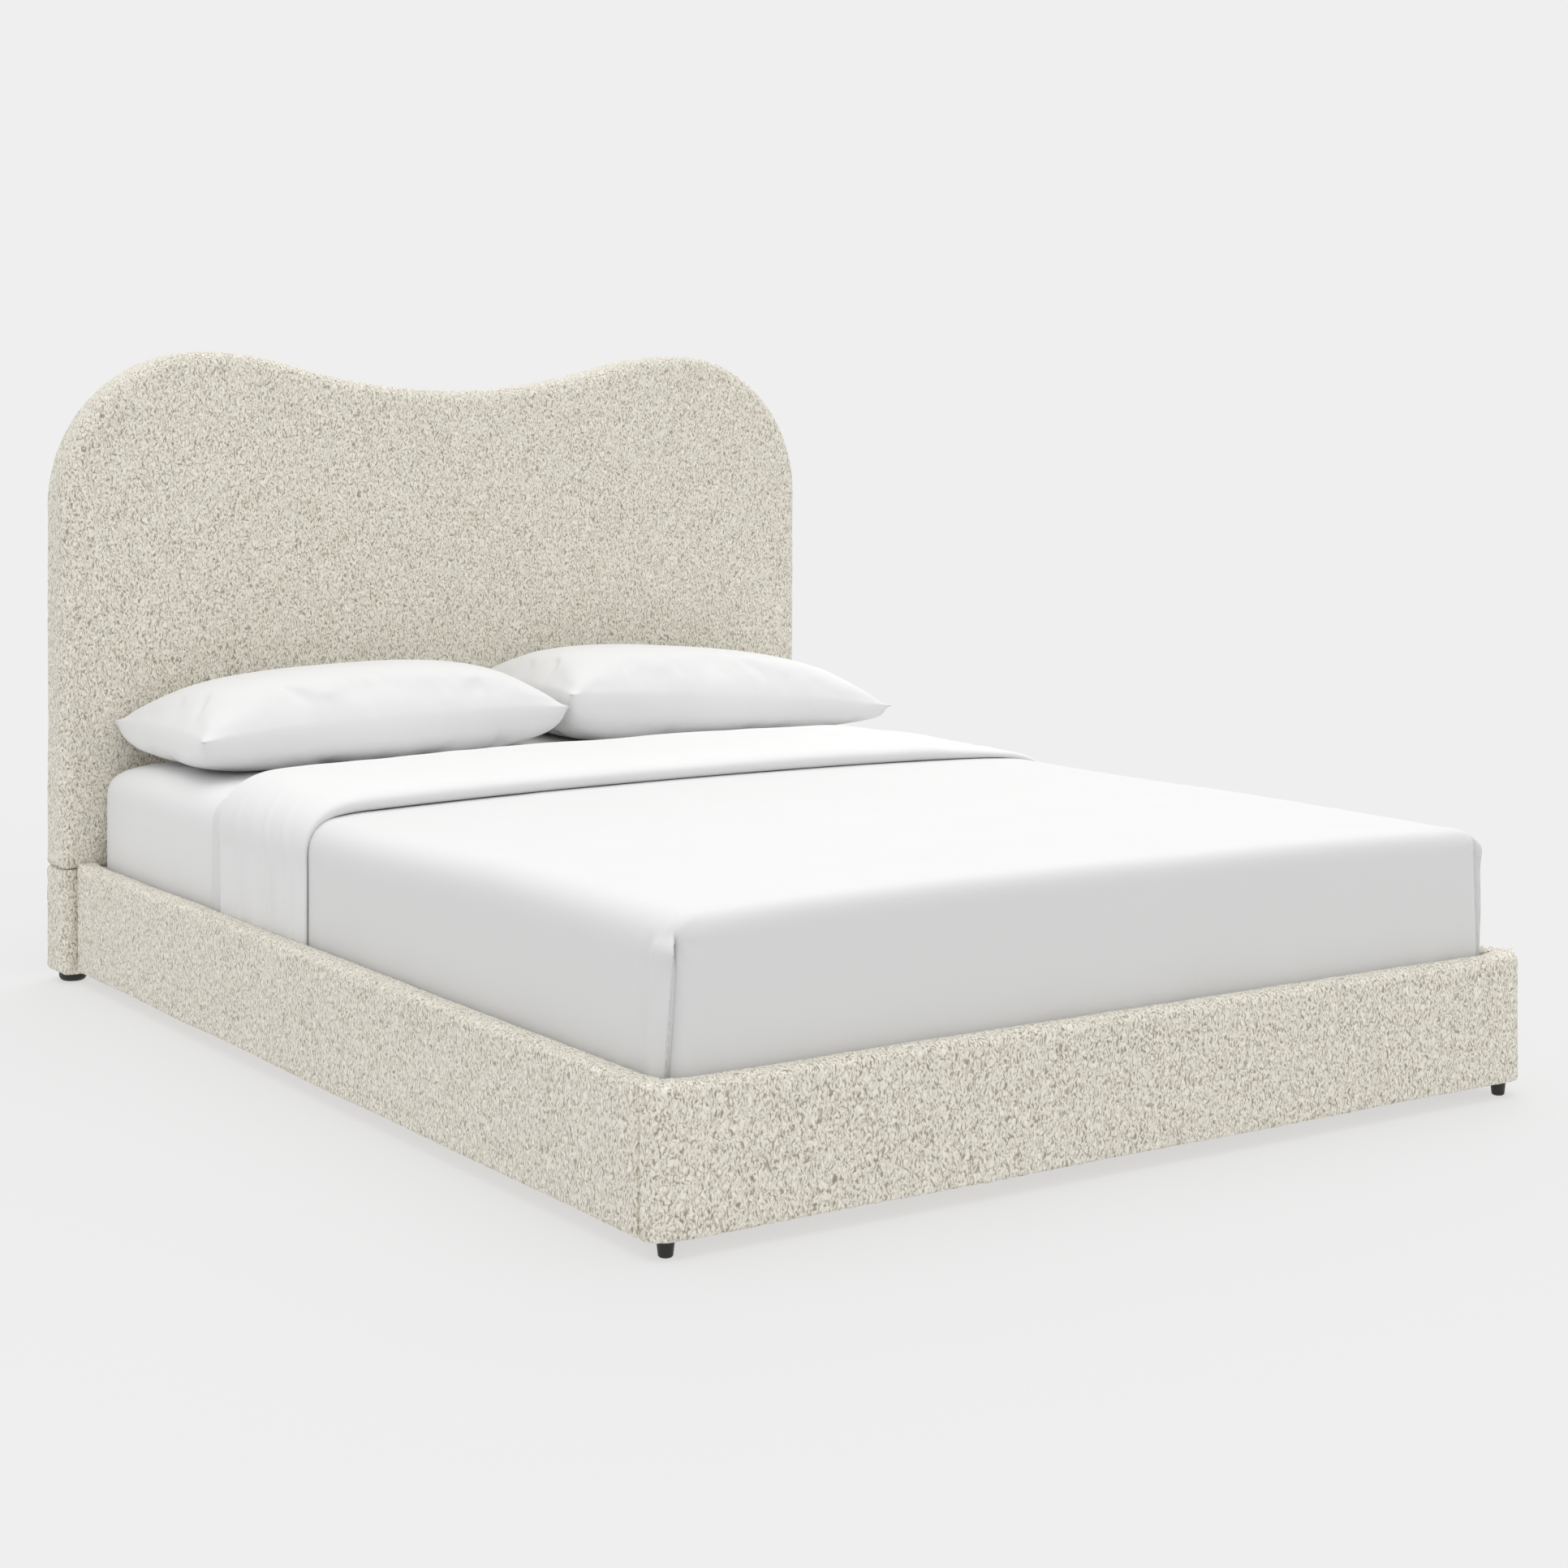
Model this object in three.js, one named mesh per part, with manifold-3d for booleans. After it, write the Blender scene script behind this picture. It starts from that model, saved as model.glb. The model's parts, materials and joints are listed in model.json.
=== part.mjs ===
// An upholstered queen bed: a padded headboard in two sections, padded side and foot rails on small
// feet, a slatted platform on a centre beam, and a mattress dressed with sheets and two pillows.
// Millimetres, +Z up. The origin is on the floor under the middle of the bed, headboard towards +Y.
import * as THREE from 'three';
import { mergeVertices } from 'three/addons/utils/BufferGeometryUtils.js';
import Module from 'manifold-3d';

const wasm = await Module();
wasm.setup();

// ---------------------------------------------------------------- driving dimensions
const touch = 0.3;                  // gap left between two pieces that touch

const mattressWidth = 1504;
const mattressLength = 2016;
const mattressThickness = 250;
const mattressCorner = 40;          // radius of the mattress's corners seen from above
const mattressEdge = 38;            // radius of its top and bottom edges
const mattressSink = 65;            // how far the mattress sits below the top of the rails
const sheetWall = 2;
const blanketWall = 3.5;
const bandWall = 3;
const bandLoft = 27;                // how much thicker the turned-down band is on top of the bed
const sideRoom = 5;                 // from the blanket to the rail padding
const headRoom = 8;                 // from the fitted sheet to the headboard
const turnDownStart = 545;          // from the headboard to the fold of the turned-down band
const turnDownEnd = 880;            // from the headboard to the hem of the band

const pillowWidth = 745;
const pillowDepth = 415;
const pillowShift = 22;             // how far the pair of pillows lies to the right
const pillowHeight = 180;
const pillowCorner = 140;           // radius of a pillow's corners seen from above
const pillowGap = 6;                // between the pillows, and from them to the headboard

const railThickness = 40;
const railHeight = 200;
const railEdge = 14;                // radius of the rails' padded edges
const railCorner = 35;              // radius of the foot rail's corners seen from above
const railBoard = 18;
const railInnerPad = 4;             // padding between a rail's board and the mattress
const railTopPad = 14;
const footHeight = 25;
const footTopRadius = 12.5;
const footTipRadius = 10;
const footInset = [35, 28];         // from the rail's side face and from its end face

const headboardOverhang = 25.9;     // from a rail's side face out to the headboard's side
const headboardThickness = 89;
const headboardEdge = 18;           // radius of the headboard's padded edges
const humpHeight = 1186;            // floor to the top of the two humps
const dipHeight = 1111;             // floor to the middle of the top edge
const headboardCorner = 292;        // radius of the two large top corners
const dipShare = 0.67;              // the dip's part of the curve from the middle to a hump's top
const seamDrop = 10;                // from the top of the rails down to the headboard's seam
const seamGap = 1;
const headboardPad = 20;            // padding in front of the headboard's boards
const headboardWall = 30;           // padding round the rim of each section
const headboardBoard = 9;
const stileWidth = 45;
const stileHeight = 610;
const middleStileTop = 60;          // from the dip down to the top of the middle stile
const battenHeight = 70;
const backCoverWall = 3;
const glideHeight = 17;
const glideRadius = 25.75;
const glideInset = 37;              // from the headboard's side face

const ledgeWidth = 30;
const ledgeHeight = 25;
const slatCount = 12;
const slatWidth = 90;
const slatThickness = 18;
const slatEndRoom = 6;
const slatMargin = 60;              // from the ends of the well to the nearest slat

const beamWidth = 50;
const beamHeight = 40;
const hangerWall = 3;
const hangerDepth = 45;
const legCount = 3;
const legRadius = 19;
const legFlangeRadius = 24;
const legFlangeWall = 3;
const levellerPadRadius = 18;
const levellerPadHeight = 8;
const levellerStemRadius = 5;
const levellerStemLength = 34;
const levellerBoreRoom = 0.4;

const bracketWall = 3;
const bracketLeg = 62;
const bracketDrop = 12;             // from a ledge down to the top of a bracket
const bracketRise = 15;             // from the bottom of the rails up to the bottom of a bracket
const boltRadius = 4;
const boltHoleRadius = 4.4;
const boltHeadRadius = 7.5;
const boltHeadHeight = 5.3;
const boltInset = 38;               // from a bracket's corner to its bolt
const railBoltLength = 18;
const headboardBoltLength = 45;
const plateWall = 3;
const plateWidth = 40;
const plateHeight = 210;
const plateRoom = 1;

// ---------------------------------------------------------------- places worked out from them
const blanketOut = touch + sheetWall + touch + blanketWall;
const bandOut = blanketOut + touch + bandWall;
const sheetOut = touch + sheetWall;

const wellHalf = mattressWidth / 2 + blanketOut + sideRoom;
const wellLength = sideRoom + blanketOut + mattressLength + sheetOut + headRoom;
const railsHalf = wellHalf + railThickness;
const overallLength = railThickness + wellLength + headboardThickness;
const footFace = -overallLength / 2;
const wellFoot = footFace + railThickness;
const headFace = wellFoot + wellLength;
const headBack = headFace + headboardThickness;
const mattressMiddle = headFace - headRoom - sheetOut - mattressLength / 2;

const railTop = footHeight + railHeight;
const seamHeight = railTop - seamDrop;
const headboardWidth = 2 * (railsHalf + headboardOverhang);
const platform = railTop - mattressSink;
const slatBottom = platform - slatThickness;
const ledgeTop = slatBottom - touch;
const ledgeBottom = ledgeTop - ledgeHeight;
const beamBottom = slatBottom - touch - beamHeight;
const mattressBottom = platform + touch;
const mattressTop = mattressBottom + mattressThickness;
const bracketTop = ledgeBottom - bracketDrop;
const bracketBottom = footHeight + bracketRise;
const boltHeight = (bracketTop + bracketBottom) / 2;

const sides = [['left', -1], ['right', 1]];

// ---------------------------------------------------------------- colours
const finishes = {
  boucle: { color: 0xcfc6b6, roughness: 0.95 },
  whiteCotton: { color: 0xe9e8e6, roughness: 0.9 },
  ticking: { color: 0xdad6cc, roughness: 0.9 },
  timber: { color: 0xc6a376, roughness: 0.7 },
  plywood: { color: 0xcdb083, roughness: 0.75 },
  dustCover: { color: 0x2b2b2b, roughness: 0.95 },
  blackPlastic: { color: 0x121212, roughness: 0.45 },
  steel: { color: 0x33363a, roughness: 0.4, metalness: 0.7 },
  zinc: { color: 0xb9bcc0, roughness: 0.3, metalness: 1 },
};

// ---------------------------------------------------------------- solids
// A manifold of a closed geometry, without the flat triangles that a lathe leaves on its axis.
function solid(geometry) {
  const bare = geometry.clone();
  bare.deleteAttribute('normal');
  bare.deleteAttribute('uv');
  const merged = mergeVertices(bare, 1e-4);
  const index = merged.index.array;
  const faces = [];
  for (let i = 0; i < index.length; i += 3) {
    const [a, b, c] = [index[i], index[i + 1], index[i + 2]];
    if (a !== b && b !== c && c !== a) faces.push(a, b, c);
  }
  const vertProperties = new Float32Array(merged.attributes.position.array);
  const triVerts = new Uint32Array(faces);
  return new wasm.Manifold(new wasm.Mesh({ numProp: 3, vertProperties, triVerts }));
}

function geometryOf(body) {
  const { vertProperties, triVerts } = body.getMesh();
  const geometry = new THREE.BufferGeometry();
  geometry.setAttribute('position', new THREE.BufferAttribute(vertProperties, 3));
  geometry.setIndex(new THREE.BufferAttribute(triVerts, 1));
  geometry.computeVertexNormals();
  return geometry;
}

function block(x, y, z) {
  const [width, depth, height] = [x[1] - x[0], y[1] - y[0], z[1] - z[0]];
  const geometry = new THREE.BoxGeometry(width, depth, height);
  geometry.translate((x[0] + x[1]) / 2, (y[0] + y[1]) / 2, (z[0] + z[1]) / 2);
  return solid(geometry);
}

// Mirrors a range across the middle of the bed for the side with sign -1.
function across(sign, from, to) {
  return sign > 0 ? [from, to] : [-to, -from];
}

function roundedRectangle(width, length, radius) {
  const [x, y] = [width / 2, length / 2];
  const shape = new THREE.Shape();
  shape.absarc(x - radius, y - radius, radius, 0, Math.PI / 2);
  shape.absarc(-x + radius, y - radius, radius, Math.PI / 2, Math.PI);
  shape.absarc(-x + radius, -y + radius, radius, Math.PI, 1.5 * Math.PI);
  shape.absarc(x - radius, -y + radius, radius, 1.5 * Math.PI, 2 * Math.PI);
  return shape;
}

// A block with rounded corners and rounded top and bottom edges, from z = 0 up.
function softBlock(width, length, height, corner, edge, segments = 4) {
  const outline = roundedRectangle(width - 2 * edge, length - 2 * edge, Math.max(corner - edge, 1));
  const geometry = new THREE.ExtrudeGeometry(outline, {
    depth: height - 2 * edge,
    bevelSize: edge,
    bevelThickness: edge,
    bevelSegments: segments,
    curveSegments: segments,
  });
  geometry.translate(0, 0, edge);
  return solid(geometry);
}

// Extrudes a profile drawn in X and Z along Y, between two places.
function alongY(shape, from, to, options = {}) {
  const bevel = options.bevelThickness ?? 0;
  const depth = to - from - 2 * bevel;
  const geometry = new THREE.ExtrudeGeometry(shape, { bevelEnabled: bevel > 0, ...options, depth });
  geometry.rotateX(Math.PI / 2);
  geometry.translate(0, to - bevel, 0);
  return solid(geometry);
}

function lathe(points, segments = 20) {
  const profile = points.map(([radius, height]) => new THREE.Vector2(radius, height));
  const geometry = new THREE.LatheGeometry(profile, segments);
  geometry.rotateX(Math.PI / 2);
  return solid(geometry);
}

// ---------------------------------------------------------------- the parts list
const bed = new THREE.Group();

function add(name, body, finish) {
  const mesh = new THREE.Mesh(geometryOf(body), new THREE.MeshStandardMaterial(finishes[finish]));
  mesh.name = name;
  bed.add(mesh);
}

// ---------------------------------------------------------------- headboard
// The outline of the upper section: straight sides, large corner arcs, two humps and a shallow dip.
function headboardOutline(inset) {
  const humpX = headboardWidth / 2 - headboardCorner;
  const lean = 2 * Math.atan((humpHeight - dipHeight) / humpX);
  const dipRadius = (dipShare * humpX) / Math.sin(lean);
  const humpRadius = humpX / Math.sin(lean) - dipRadius;
  const corner = [humpX, humpHeight - headboardCorner];
  const bottom = seamHeight + seamGap / 2 + inset;
  const half = headboardWidth / 2 - inset;
  const up = Math.PI / 2;
  const shape = new THREE.Shape();
  shape.moveTo(-half, bottom);
  shape.lineTo(half, bottom);
  shape.absarc(corner[0], corner[1], headboardCorner - inset, 0, up);
  shape.absarc(humpX, humpHeight - humpRadius, humpRadius - inset, up, up + lean);
  shape.absarc(0, dipHeight + dipRadius, dipRadius + inset, -up + lean, -up - lean, true);
  shape.absarc(-humpX, humpHeight - humpRadius, humpRadius - inset, up - lean, up);
  shape.absarc(-corner[0], corner[1], headboardCorner - inset, up, Math.PI);
  return shape;
}

function baseOutline(inset) {
  const half = headboardWidth / 2 - inset;
  const [bottom, top] = [glideHeight + inset, seamHeight - seamGap / 2 - inset];
  const shape = new THREE.Shape();
  shape.moveTo(-half, bottom);
  shape.lineTo(half, bottom);
  shape.lineTo(half, top);
  shape.lineTo(-half, top);
  return shape;
}

// Padding in the shape of an outline, with a pocket for the boards that is open at the back.
function paddedSection(outline) {
  const edge = headboardEdge;
  const bevel = { bevelThickness: edge, bevelSize: edge, bevelSegments: 3, curveSegments: 10 };
  const outer = alongY(outline(edge), headFace, headBack, bevel);
  const pocket = alongY(outline(headboardWall), headFace + headboardPad, headBack + 1, { curveSegments: 10 });
  return outer.subtract(pocket);
}

const boardFront = headFace + headboardPad + touch;
const stileFront = boardFront + headboardBoard + touch;
const plateFront = headBack - backCoverWall - touch - plateWall;
const stileBack = plateFront - touch;
const upperFloor = seamHeight + seamGap / 2 + headboardWall + touch;
const baseFloor = glideHeight + headboardWall + touch;
const baseCeiling = seamHeight - seamGap / 2 - headboardWall - touch;
const pocketHalf = headboardWidth / 2 - headboardWall - touch;
const stileCentre = pocketHalf - stileWidth;
const plateBottom = seamHeight - plateHeight / 2;

function plateRange(sign, room) {
  const [half, from] = [plateWidth / 2 + room, plateFront - room];
  return [across(sign, stileCentre - half, stileCentre + half), [from, plateFront + plateWall + room]];
}

function boltBody(length, room = 0) {
  const radius = room > 0 ? boltHoleRadius : boltRadius;
  return lathe([[0, -length - room], [radius, -length - room], [radius, 1], [0, 1]], 12);
}

// A bolt or its hole, with the head's underside at a place and the shank running along an axis.
function placeBolt(body, towards, x, y) {
  const turned = towards === 'y' ? body.rotate([90, 0, 0]) : body.rotate([0, -90 * towards, 0]);
  return turned.translate([x, y, boltHeight]);
}

function hexBolt(length) {
  const head = new THREE.CylinderGeometry(boltHeadRadius, boltHeadRadius, boltHeadHeight, 6);
  head.rotateX(Math.PI / 2);
  head.translate(0, 0, boltHeadHeight / 2);
  return boltBody(length).add(solid(head));
}

// Where each corner's bolt starts: on the bracket's inner face.
const headBoltX = wellHalf - touch - boltInset;
const headBoltY = headFace - touch - bracketWall - touch;
const footBoltX = wellHalf - touch - bracketWall - touch;
const footBoltY = wellFoot + touch + boltInset;

function headboard() {
  let upper = paddedSection(headboardOutline);
  let base = paddedSection(baseOutline);
  for (const [, sign] of sides) {
    const slot = block(...plateRange(sign, plateRoom), [baseCeiling - 1, upperFloor + 1]);
    upper = upper.subtract(slot);
    base = base.subtract(slot);
    base = base.subtract(placeBolt(boltBody(headboardBoltLength, 1), 'y', sign * headBoltX, headBoltY));
  }
  add('headboard_padding', upper, 'boucle');
  add('headboard_base_padding', base, 'boucle');

  const boardShape = headboardOutline(headboardWall + touch);
  const board = alongY(boardShape, boardFront, boardFront + headboardBoard, { curveSegments: 10 });
  add('headboard_front_board', board, 'plywood');

  for (const [side, sign] of sides) {
    const x = across(sign, stileCentre - stileWidth / 2, stileCentre + stileWidth / 2);
    const stile = block(x, [stileFront, stileBack], [upperFloor, upperFloor + stileHeight]);
    add(`headboard_${side}_stile`, stile, 'timber');
  }
  const battenHalf = stileCentre - stileWidth / 2 - touch;
  const battenTop = upperFloor + battenHeight;
  const battenX = [-battenHalf, battenHalf];
  add('headboard_batten', block(battenX, [stileFront, stileBack], [upperFloor, battenTop]), 'timber');
  const middleX = [-stileWidth / 2, stileWidth / 2];
  const middleZ = [battenTop + touch, dipHeight - middleStileTop];
  add('headboard_middle_stile', block(middleX, [stileFront, stileBack], middleZ), 'timber');

  const coverY = [headBack - backCoverWall, headBack];
  const cover = alongY(headboardOutline(headboardWall + touch), ...coverY, { curveSegments: 10 });
  add('headboard_back_cover', cover, 'dustCover');
  const baseX = [-pocketHalf, pocketHalf];
  add('headboard_base_back_cover', block(baseX, coverY, [baseFloor, baseCeiling]), 'dustCover');

  let beam = block(baseX, [boardFront, stileBack], [baseFloor, baseCeiling]);
  for (const [side, sign] of sides) {
    beam = beam.subtract(placeBolt(boltBody(headboardBoltLength, 1), 'y', sign * headBoltX, headBoltY));
    const plate = block(...plateRange(sign, 0), [plateBottom, plateBottom + plateHeight]);
    add(`${side}_joining_plate`, plate, 'zinc');
  }
  add('headboard_base_beam', beam, 'timber');
}

function headboardGlides() {
  const top = glideHeight - touch;
  const soften = glideHeight * 0.6;
  const profile = [[0, 0], [glideRadius - soften, 0]];
  for (let step = 1; step <= 4; step += 1) {
    const angle = (step / 4) * (Math.PI / 2);
    profile.push([glideRadius - soften * (1 - Math.sin(angle)), soften * (1 - Math.cos(angle))]);
  }
  profile.push([glideRadius, top], [0, top]);
  for (const [side, sign] of sides) {
    const x = sign * (headboardWidth / 2 - glideInset);
    const glide = lathe(profile).translate([x, (headFace + headBack) / 2, 0]);
    add(`headboard_${side}_glide`, glide, 'blackPlastic');
  }
}

// ---------------------------------------------------------------- rails
const boardTop = railTop - railTopPad;
const railBoardX = [wellHalf + railInnerPad + touch, wellHalf + railInnerPad + touch + railBoard];
const railBoardY = [wellFoot - railInnerPad - touch - railBoard, wellFoot - railInnerPad - touch];

// The cross-section of a side rail's padding: all four edges rounded.
function railProfile(sign) {
  const shape = roundedRectangle(railThickness, railHeight, railEdge);
  const points = shape.getPoints(3).map((point) => {
    const x = point.x + sign * (wellHalf + railThickness / 2);
    return new THREE.Vector2(x, point.y + footHeight + railHeight / 2);
  });
  return new THREE.Shape(points);
}

function sideRails() {
  const [from, to] = [wellFoot + seamGap, headFace - seamGap];
  for (const [side, sign] of sides) {
    const hole = placeBolt(boltBody(railBoltLength, 1), sign, sign * footBoltX, footBoltY);
    const slotX = across(sign, railBoardX[0] - touch, railBoardX[1] + touch);
    const slot = block(slotX, [from - 1, to + 1], [footHeight - 1, boardTop + touch]);
    const padding = alongY(railProfile(sign), from, to).subtract(slot).subtract(hole);
    add(`${side}_rail_padding`, padding, 'boucle');

    const board = block(across(sign, ...railBoardX), [from, to], [footHeight, boardTop]);
    add(`${side}_rail_board`, board.subtract(hole), 'timber');

    const ledgeX = across(sign, wellHalf - touch - ledgeWidth, wellHalf - touch);
    const ledgeY = [wellFoot + touch, headFace - touch];
    add(`${side}_slat_ledge`, block(ledgeX, ledgeY, [ledgeBottom, ledgeTop]), 'timber');
  }
}

// The foot rail runs the full width and has rounded corners; the side rails butt against it.
function footRail() {
  const reach = railCorner + railThickness;
  const rounded = softBlock(2 * railsHalf, 2 * reach, railHeight, railCorner, railEdge);
  const back = block([-railsHalf, railsHalf], [0, 2 * reach], [-1, railHeight + 1]);
  const bar = rounded.subtract(back.translate([0, -reach + railThickness, 0]));
  const placed = bar.translate([0, footFace + reach, footHeight]);
  const slotX = [-railsHalf + railCorner, railsHalf - railCorner];
  const slotY = [railBoardY[0] - touch, railBoardY[1] + touch];
  const slot = block(slotX, slotY, [footHeight - 1, boardTop + touch]);
  add('foot_rail_padding', placed.subtract(slot), 'boucle');
  const boardX = [slotX[0] + touch, slotX[1] - touch];
  add('foot_rail_board', block(boardX, railBoardY, [footHeight, boardTop]), 'timber');
}

function frontFeet() {
  const top = footHeight - touch;
  const profile = [[0, 0], [footTipRadius - 2, 0], [footTipRadius, 2], [footTopRadius, top], [0, top]];
  for (const [side, sign] of sides) {
    const x = sign * (railsHalf - footInset[0]);
    const foot = lathe(profile).translate([x, footFace + footInset[1], 0]);
    add(`front_${side}_foot`, foot, 'blackPlastic');
  }
}

// ---------------------------------------------------------------- corner brackets and bolts
function brackets() {
  const z = [bracketBottom, bracketTop];
  const corners = [['head', headFace - touch, -1], ['foot', wellFoot + touch, 1]];
  for (const [end, face, inward] of corners) {
    for (const [side, sign] of sides) {
      const outer = wellHalf - touch;
      const along = [face, face + inward * bracketLeg].sort((a, b) => a - b);
      const wall = [face, face + inward * bracketWall].sort((a, b) => a - b);
      const railLeg = block(across(sign, outer - bracketWall, outer), along, z);
      const endLeg = block(across(sign, outer - bracketLeg, outer), wall, z);
      let hole = placeBolt(boltBody(railBoltLength, 1), sign, sign * footBoltX, footBoltY);
      let bolt = placeBolt(hexBolt(railBoltLength), sign, sign * footBoltX, footBoltY);
      if (end === 'head') {
        hole = placeBolt(boltBody(headboardBoltLength, 1), 'y', sign * headBoltX, headBoltY);
        bolt = placeBolt(hexBolt(headboardBoltLength), 'y', sign * headBoltX, headBoltY);
      }
      add(`${end}_${side}_bracket`, railLeg.add(endLeg).subtract(hole), 'steel');
      add(`${end}_${side}_bolt`, bolt, 'zinc');
    }
  }
}

// ---------------------------------------------------------------- platform
function slats() {
  const half = wellHalf - slatEndRoom;
  const first = wellFoot + slatMargin;
  const last = headFace - slatMargin - slatWidth;
  const pitch = (last - first) / (slatCount - 1);
  for (let i = 0; i < slatCount; i += 1) {
    const y = first + i * pitch;
    const slat = block([-half, half], [y, y + slatWidth], [slatBottom, platform]);
    add(`slat_${String(i + 1).padStart(2, '0')}`, slat, 'timber');
  }
}

function centreBeam() {
  const ends = [wellFoot + touch + hangerWall + touch, headFace - touch - hangerWall - touch];
  const half = beamWidth / 2;
  const beam = block([-half, half], ends, [beamBottom, beamBottom + beamHeight]);
  add('centre_beam', beam, 'timber');
  const hangers = [['head', headFace - touch, -1], ['foot', wellFoot + touch, 1]];
  for (const [end, face, inward] of hangers) {
    const wide = half + touch + hangerWall;
    const low = beamBottom - touch - hangerWall;
    const reach = [face, face + inward * hangerDepth].sort((a, b) => a - b);
    const body = block([-wide, wide], reach, [low, beamBottom + beamHeight - 1]);
    const open = [face + inward * hangerWall, face + inward * (hangerDepth + 1)].sort((a, b) => a - b);
    const inside = [-half - touch, half + touch];
    const pocket = block(inside, open, [beamBottom - touch, slatBottom]);
    add(`${end}_beam_hanger`, body.subtract(pocket), 'steel');
  }
}

function centreLegs() {
  const top = beamBottom - touch;
  const bottom = levellerPadHeight + touch;
  const bore = levellerStemRadius + levellerBoreRoom;
  const boreTop = levellerPadHeight + levellerStemLength + touch;
  const legProfile = [
    [0, boreTop], [bore, boreTop], [bore, bottom], [legRadius, bottom],
    [legRadius, top - legFlangeWall], [legFlangeRadius, top - legFlangeWall],
    [legFlangeRadius, top], [0, top],
  ];
  const padEdge = levellerPadRadius - 2;
  const stemTop = levellerPadHeight + levellerStemLength;
  const levellerProfile = [
    [0, 0], [padEdge, 0], [levellerPadRadius, 2], [levellerPadRadius, levellerPadHeight - 2],
    [padEdge, levellerPadHeight], [levellerStemRadius, levellerPadHeight],
    [levellerStemRadius, stemTop], [0, stemTop],
  ];
  const names = ['foot', 'middle', 'head'];
  for (let i = 0; i < legCount; i += 1) {
    const y = wellFoot + (wellLength * (i + 0.5)) / legCount;
    add(`${names[i]}_centre_leg`, lathe(legProfile).translate([0, y, 0]), 'steel');
    add(`${names[i]}_leveller`, lathe(levellerProfile).translate([0, y, 0]), 'blackPlastic');
  }
}

// ---------------------------------------------------------------- mattress and bedding
// The mattress's shape grown outwards by an amount, running down past its bottom.
function grownMattress(grow, below = 0) {
  const height = mattressThickness + grow + below;
  const width = mattressWidth + 2 * grow;
  const length = mattressLength + 2 * grow;
  const body = softBlock(width, length, height, mattressCorner + grow, mattressEdge + grow);
  return body.translate([0, mattressMiddle, mattressBottom - below]);
}

// A cloth over the top and the sides of the mattress, between two places along the bed. A loft makes
// it thicker on top.
function cover(inner, outer, from, to, loft = 0) {
  const skirt = 2 * mattressEdge;
  let outside = grownMattress(outer, skirt);
  if (loft > 0) {
    const inset = mattressEdge / 2;
    const cap = grownMattress(-inset).translate([0, 0, inset + outer + loft]);
    outside = wasm.Manifold.hull([outside, cap]);
  }
  const shell = outside.subtract(grownMattress(inner, skirt));
  const wide = [-railsHalf, railsHalf];
  return shell.intersect(block(wide, [from, to], [mattressBottom, mattressTop + railHeight]));
}

function bedding() {
  const end = overallLength;
  add('mattress', grownMattress(0), 'ticking');
  add('fitted_sheet', cover(touch, sheetOut, -end, end), 'whiteCotton');
  const foldY = headFace - turnDownStart;
  add('blanket', cover(sheetOut + touch, blanketOut, -end, foldY), 'whiteCotton');
  const band = cover(blanketOut + touch, bandOut, headFace - turnDownEnd, foldY, bandLoft);
  add('turned_down_band', band, 'whiteCotton');
  const seat = mattressTop + sheetOut + touch;
  for (const [side, sign] of sides) {
    const pillow = softBlock(pillowWidth, pillowDepth, pillowHeight, pillowCorner, pillowHeight / 2 - 4);
    const x = pillowShift + (sign * (pillowWidth + pillowGap)) / 2;
    const y = headFace - pillowGap - pillowDepth / 2;
    add(`${side}_pillow`, pillow.translate([x, y, seat]), 'whiteCotton');
  }
}

headboard();
headboardGlides();
sideRails();
footRail();
frontFeet();
brackets();
slats();
centreBeam();
centreLegs();
bedding();

export default bed;
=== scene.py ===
# %% [markdown]
# # An upholstered bed, dressed
# The bed has a wavy padded headboard in two sections, low padded rails, and a mattress with white
# sheets and two pillows. Its frame comes in from the part's own model, which fixes every place and
# size. This lesson gives each soft piece its real shape, and each piece its real finish.

# %% Load the frame
import json
import math
import bmesh
import bpy
import numpy as np
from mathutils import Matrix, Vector
from mathutils.geometry import delaunay_2d_cdt
from mathutils.kdtree import KDTree


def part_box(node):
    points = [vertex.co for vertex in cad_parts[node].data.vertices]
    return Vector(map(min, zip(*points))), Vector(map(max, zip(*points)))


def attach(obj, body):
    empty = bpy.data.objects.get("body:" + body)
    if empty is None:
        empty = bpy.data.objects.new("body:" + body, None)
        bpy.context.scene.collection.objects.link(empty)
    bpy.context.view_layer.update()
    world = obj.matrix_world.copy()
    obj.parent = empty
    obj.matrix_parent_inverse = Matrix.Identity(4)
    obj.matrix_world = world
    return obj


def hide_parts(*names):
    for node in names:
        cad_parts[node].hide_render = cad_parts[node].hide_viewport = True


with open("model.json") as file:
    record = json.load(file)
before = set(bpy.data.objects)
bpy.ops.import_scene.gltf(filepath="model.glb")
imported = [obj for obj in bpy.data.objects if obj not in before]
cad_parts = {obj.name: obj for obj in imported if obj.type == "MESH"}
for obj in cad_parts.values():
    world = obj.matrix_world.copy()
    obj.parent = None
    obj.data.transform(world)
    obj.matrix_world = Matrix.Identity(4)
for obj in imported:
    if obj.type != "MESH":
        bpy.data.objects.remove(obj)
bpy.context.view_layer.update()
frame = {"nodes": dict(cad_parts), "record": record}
MM = 0.001

# %% [markdown]
# ## Places that the pieces share
# Every place is read from the frame's boxes, so the soft pieces land where the solids are. A few
# shape values that a box can't tell, such as the radius of the headboard's corners, are named here.

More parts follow.
